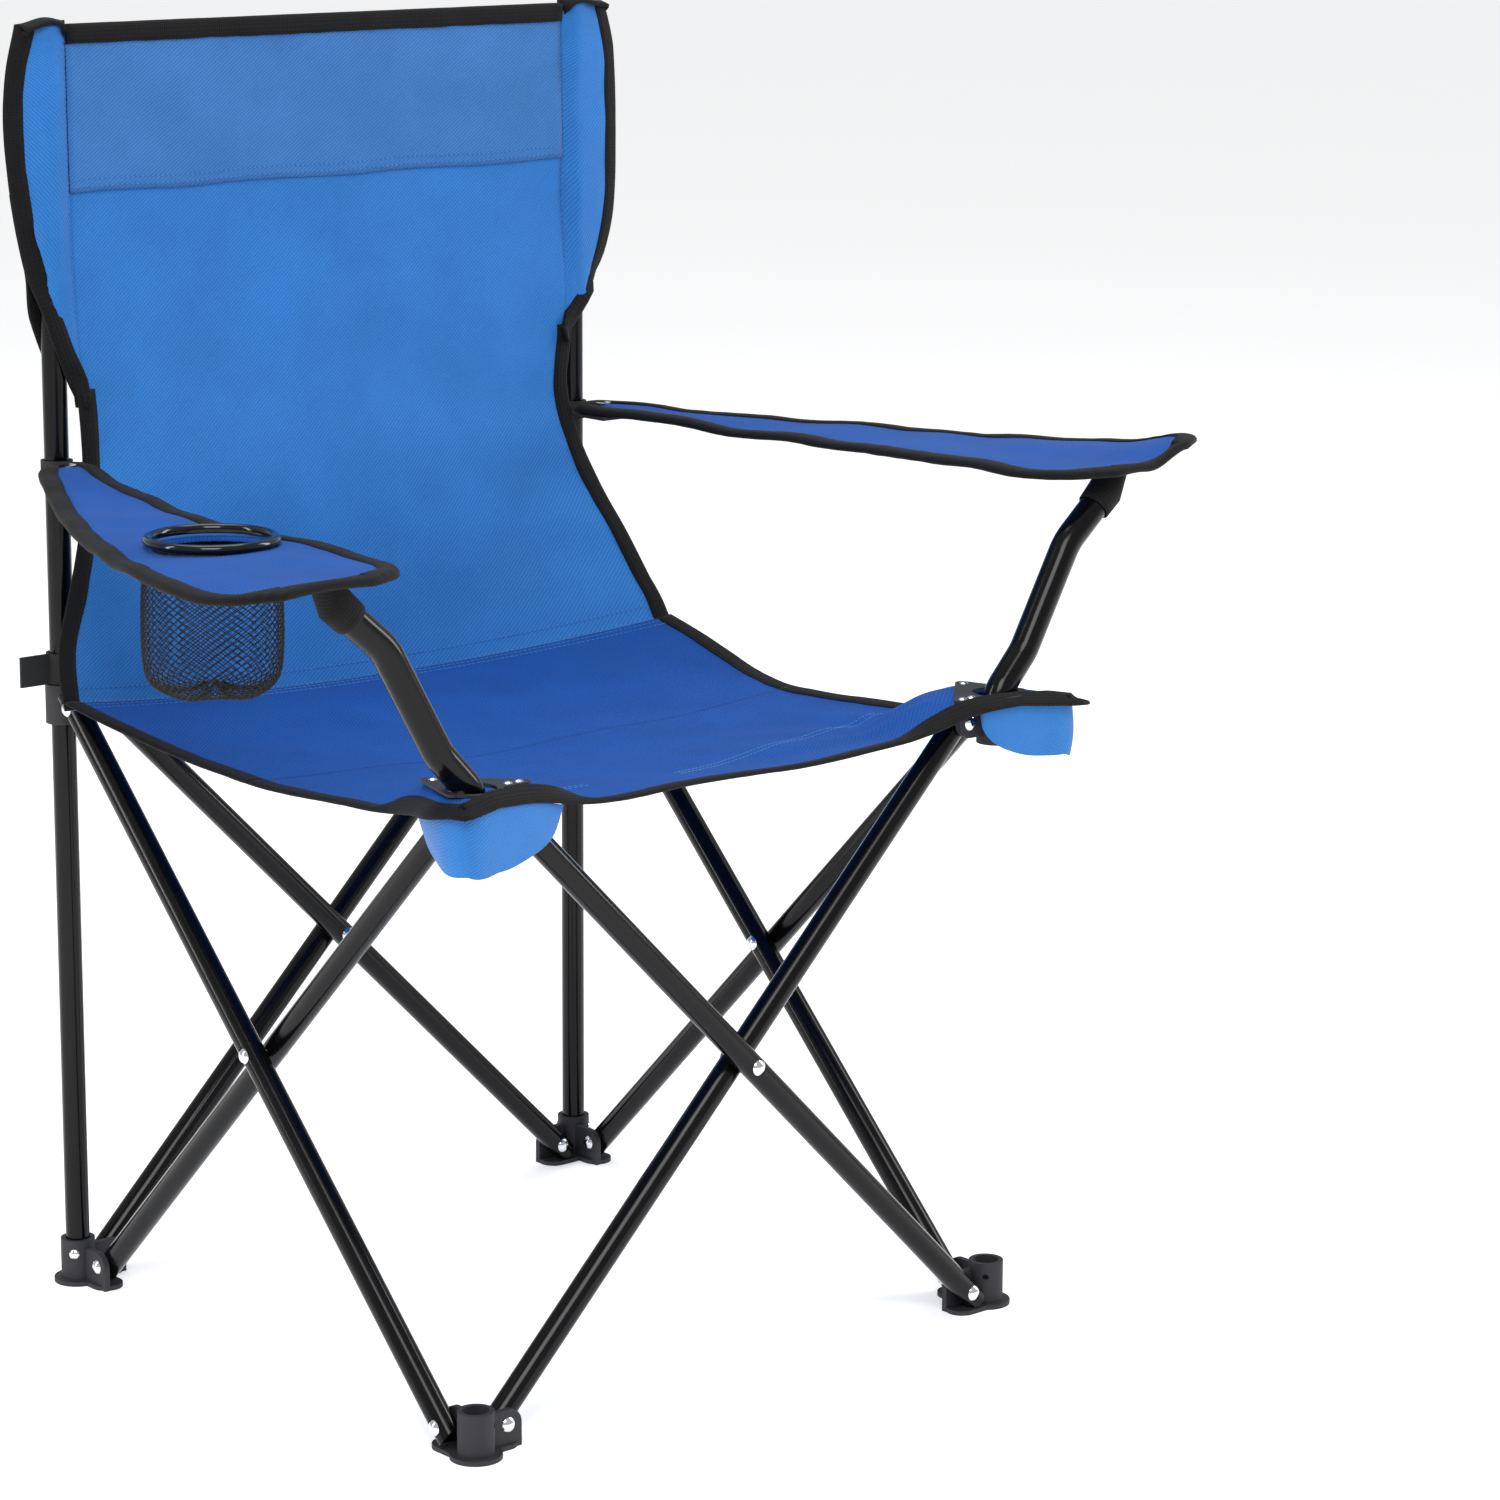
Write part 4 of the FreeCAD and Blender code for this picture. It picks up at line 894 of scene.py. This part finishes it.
class CAMPCHAIR_OT_cup_holder(bpy.types.Operator):
    """Make the net bag of the cup holder and its rim tape"""
    bl_idname = "camp_chair.cup_holder"
    bl_label = "Cup Holder"

    def execute(self, context):
        trim = context.scene.camp_chair_trim
        top = CUP_Z - 7.0
        profile = [(0.0, (39.5, 0.0)), (0.3, (41.5, 28.0)), (0.62, (41.0, 62.0)), (0.74, (37.5, 74.0)),
                   (0.84, (27.0, 81.0)), (0.93, (14.0, 80.0)), (1.0, (5.0, 76.0))]

        def bag(s, t):
            turn = 2.0 * math.pi * s
            radius = smooth([(k, row[0]) for k, row in profile], t)
            depth = smooth([(k, row[1]) for k, row in profile], t)
            sway = 0.02 * math.sin(3.0 * turn + 1.0) * (0.4 + t)
            radius *= 1.0 + sway + 0.03 * ease(0.6, 0.85, t) * math.sin(5.0 * turn)
            depth += 1.4 * ease(0.7, 0.9, t) * math.sin(4.0 * turn + 0.6)
            return CUP_X + radius * math.cos(turn), CUP_Y + radius * math.sin(turn), top - depth

        bm = grid(trim.net_cells, 24, bag, 250.0, 110.0, wrap=True)
        square = set(e for e in bm.edges if not e.is_boundary)
        bmesh.ops.poke(bm, faces=bm.faces)
        bmesh.ops.dissolve_edges(bm, edges=[e for e in square if e.is_valid], use_verts=False)
        net = finish_piece("cup_net_mesh", bm, "cup_holder", "black_net")
        wire = net.modifiers.new("cord", "WIREFRAME")
        wire.thickness = trim.net_cord
        wire.use_even_offset = False
        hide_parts("cup_net")

        def rim(s, t):
            turn = 2.0 * math.pi * s
            radius = 40.3 + 0.4 * math.sin(9.0 * turn)
            return CUP_X + radius * math.cos(turn), CUP_Y + radius * math.sin(turn), top + mix(3.0, -8.0, t)

        bm = grid(72, 4, rim, 253.0, 11.0, wrap=True)
        bmesh.ops.recalc_face_normals(bm, faces=bm.faces)
        band = finish_piece("cup_net_band", bm, "cup_holder", "black_binding", 1.3)
        for piece in (net, band):
            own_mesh(piece)
        return {"FINISHED"}


class CAMPCHAIR_OT_stage(bpy.types.Operator):
    """Make the floor, the soft lights and the camera"""
    bl_idname = "camp_chair.stage"
    bl_label = "Stage"

    def execute(self, context):
        scene = context.scene
        bm = bmesh.new()
        bmesh.ops.create_grid(bm, x_segments=1, y_segments=1, size=60.0)
        mesh = bpy.data.meshes.new("floor")
        bm.to_mesh(mesh)
        bm.free()
        floor = bpy.data.objects.new("floor", mesh)
        scene.collection.objects.link(floor)
        tree, output = start("pale_floor")
        shader = add(tree, "ShaderNodeBsdfPrincipled",
                     inputs={"Base Color": linear("#f8f8f8"), "Roughness": 0.9, "Specular IOR Level": 0.1,
                             "Emission Color": (1.0, 1.0, 1.0, 1.0), "Emission Strength": 0.4})
        tree.links.new(shader.outputs["BSDF"], output.inputs["Surface"])
        mesh.materials.append(bpy.data.materials["pale_floor"])
        world = bpy.data.worlds.new("pale studio")
        world.use_nodes = True
        world.node_tree.nodes["Background"].inputs["Color"].default_value = linear("#f6f7f9")
        seen = add(world.node_tree, "ShaderNodeLightPath").outputs["Is Camera Ray"]
        # the backdrop is white to the camera and half as bright to the chair
        strength = add(world.node_tree, "ShaderNodeMapRange", {"Value": seen},
                       {"To Min": 0.55, "To Max": 1.1})
        world.node_tree.links.new(strength.outputs["Result"],
                                  world.node_tree.nodes["Background"].inputs["Strength"])
        scene.world = world
        for name, place, size, power in (("key", (-2.0, -2.4, 3.0), (1.8, 1.8), 75.0),
                                         ("side", (3.0, -1.2, 1.8), (0.8, 2.4), 45.0),
                                         ("strip", (-2.8, 1.0, 1.6), (0.35, 2.2), 30.0),
                                         ("top", (0.2, 0.6, 3.4), (2.2, 2.2), 45.0)):
            light = bpy.data.lights.new(name, "AREA")
            light.shape = "RECTANGLE"
            light.size, light.size_y = size
            light.energy = power
            holder = bpy.data.objects.new(name, light)
            scene.collection.objects.link(holder)
            holder.location = place
            aim = Vector((0.0, 0.0, 0.45)) - Vector(place)
            holder.rotation_euler = aim.to_track_quat("-Z", "Y").to_euler()
        scene.view_settings.view_transform = "Standard"
        camera = bpy.data.objects.new("camera", bpy.data.cameras.new("camera"))
        scene.collection.objects.link(camera)
        camera.data.lens = 109.54
        camera.data.sensor_width = 36.0
        yaw, pitch, roll = math.radians(41.706), math.radians(-12.498), math.radians(0.349)
        ahead = Vector((math.sin(yaw) * math.cos(pitch), math.cos(yaw) * math.cos(pitch), math.sin(pitch)))
        right = Vector((math.cos(yaw), -math.sin(yaw), 0.0))
        up = right.cross(ahead)
        level = right
        right = level * math.cos(roll) + up * math.sin(roll)
        up = up * math.cos(roll) - level * math.sin(roll)
        turn = Matrix((right, up, -ahead)).transposed().to_4x4()
        turn.translation = metres((-1820.2, -2260.6, 1013.2))
        camera.matrix_world = turn
        scene.camera = camera
        return {"FINISHED"}


class CAMPCHAIR_PT_panel(bpy.types.Panel):
    """Settings and pieces of the camp chair"""
    bl_idname = "CAMPCHAIR_PT_panel"
    bl_label = "Camp Chair"
    bl_space_type = "VIEW_3D"
    bl_region_type = "UI"
    bl_category = "Camp Chair"

    def draw(self, context):
        scene = context.scene
        for group in (scene.camp_chair_cloth, scene.camp_chair_trim, scene.camp_chair_finish):
            box = self.layout.box()
            for key in group.__annotations__:
                box.prop(group, key)
        for operator in OPERATORS:
            self.layout.operator(operator.bl_idname)


GROUPS = {"camp_chair_cloth": CampChairCloth, "camp_chair_trim": CampChairTrim,
          "camp_chair_finish": CampChairFinish}
OPERATORS = (CAMPCHAIR_OT_finishes, CAMPCHAIR_OT_seat, CAMPCHAIR_OT_back, CAMPCHAIR_OT_arms,
             CAMPCHAIR_OT_cup_holder, CAMPCHAIR_OT_stage)


def register():
    for kind in tuple(GROUPS.values()) + OPERATORS + (CAMPCHAIR_PT_panel,):
        bpy.utils.register_class(kind)
    for key, kind in GROUPS.items():
        setattr(bpy.types.Scene, key, bpy.props.PointerProperty(type=kind))


def unregister():
    for key in GROUPS:
        delattr(bpy.types.Scene, key)
    for kind in (CAMPCHAIR_PT_panel,) + OPERATORS[::-1] + tuple(GROUPS.values()):
        bpy.utils.unregister_class(kind)


def main():
    register()
    bpy.ops.camp_chair.finishes()
    bpy.ops.camp_chair.seat()
    bpy.ops.camp_chair.back()
    bpy.ops.camp_chair.arms()
    bpy.ops.camp_chair.cup_holder()
    bpy.ops.camp_chair.stage()


if __name__ == "__main__":
    main()
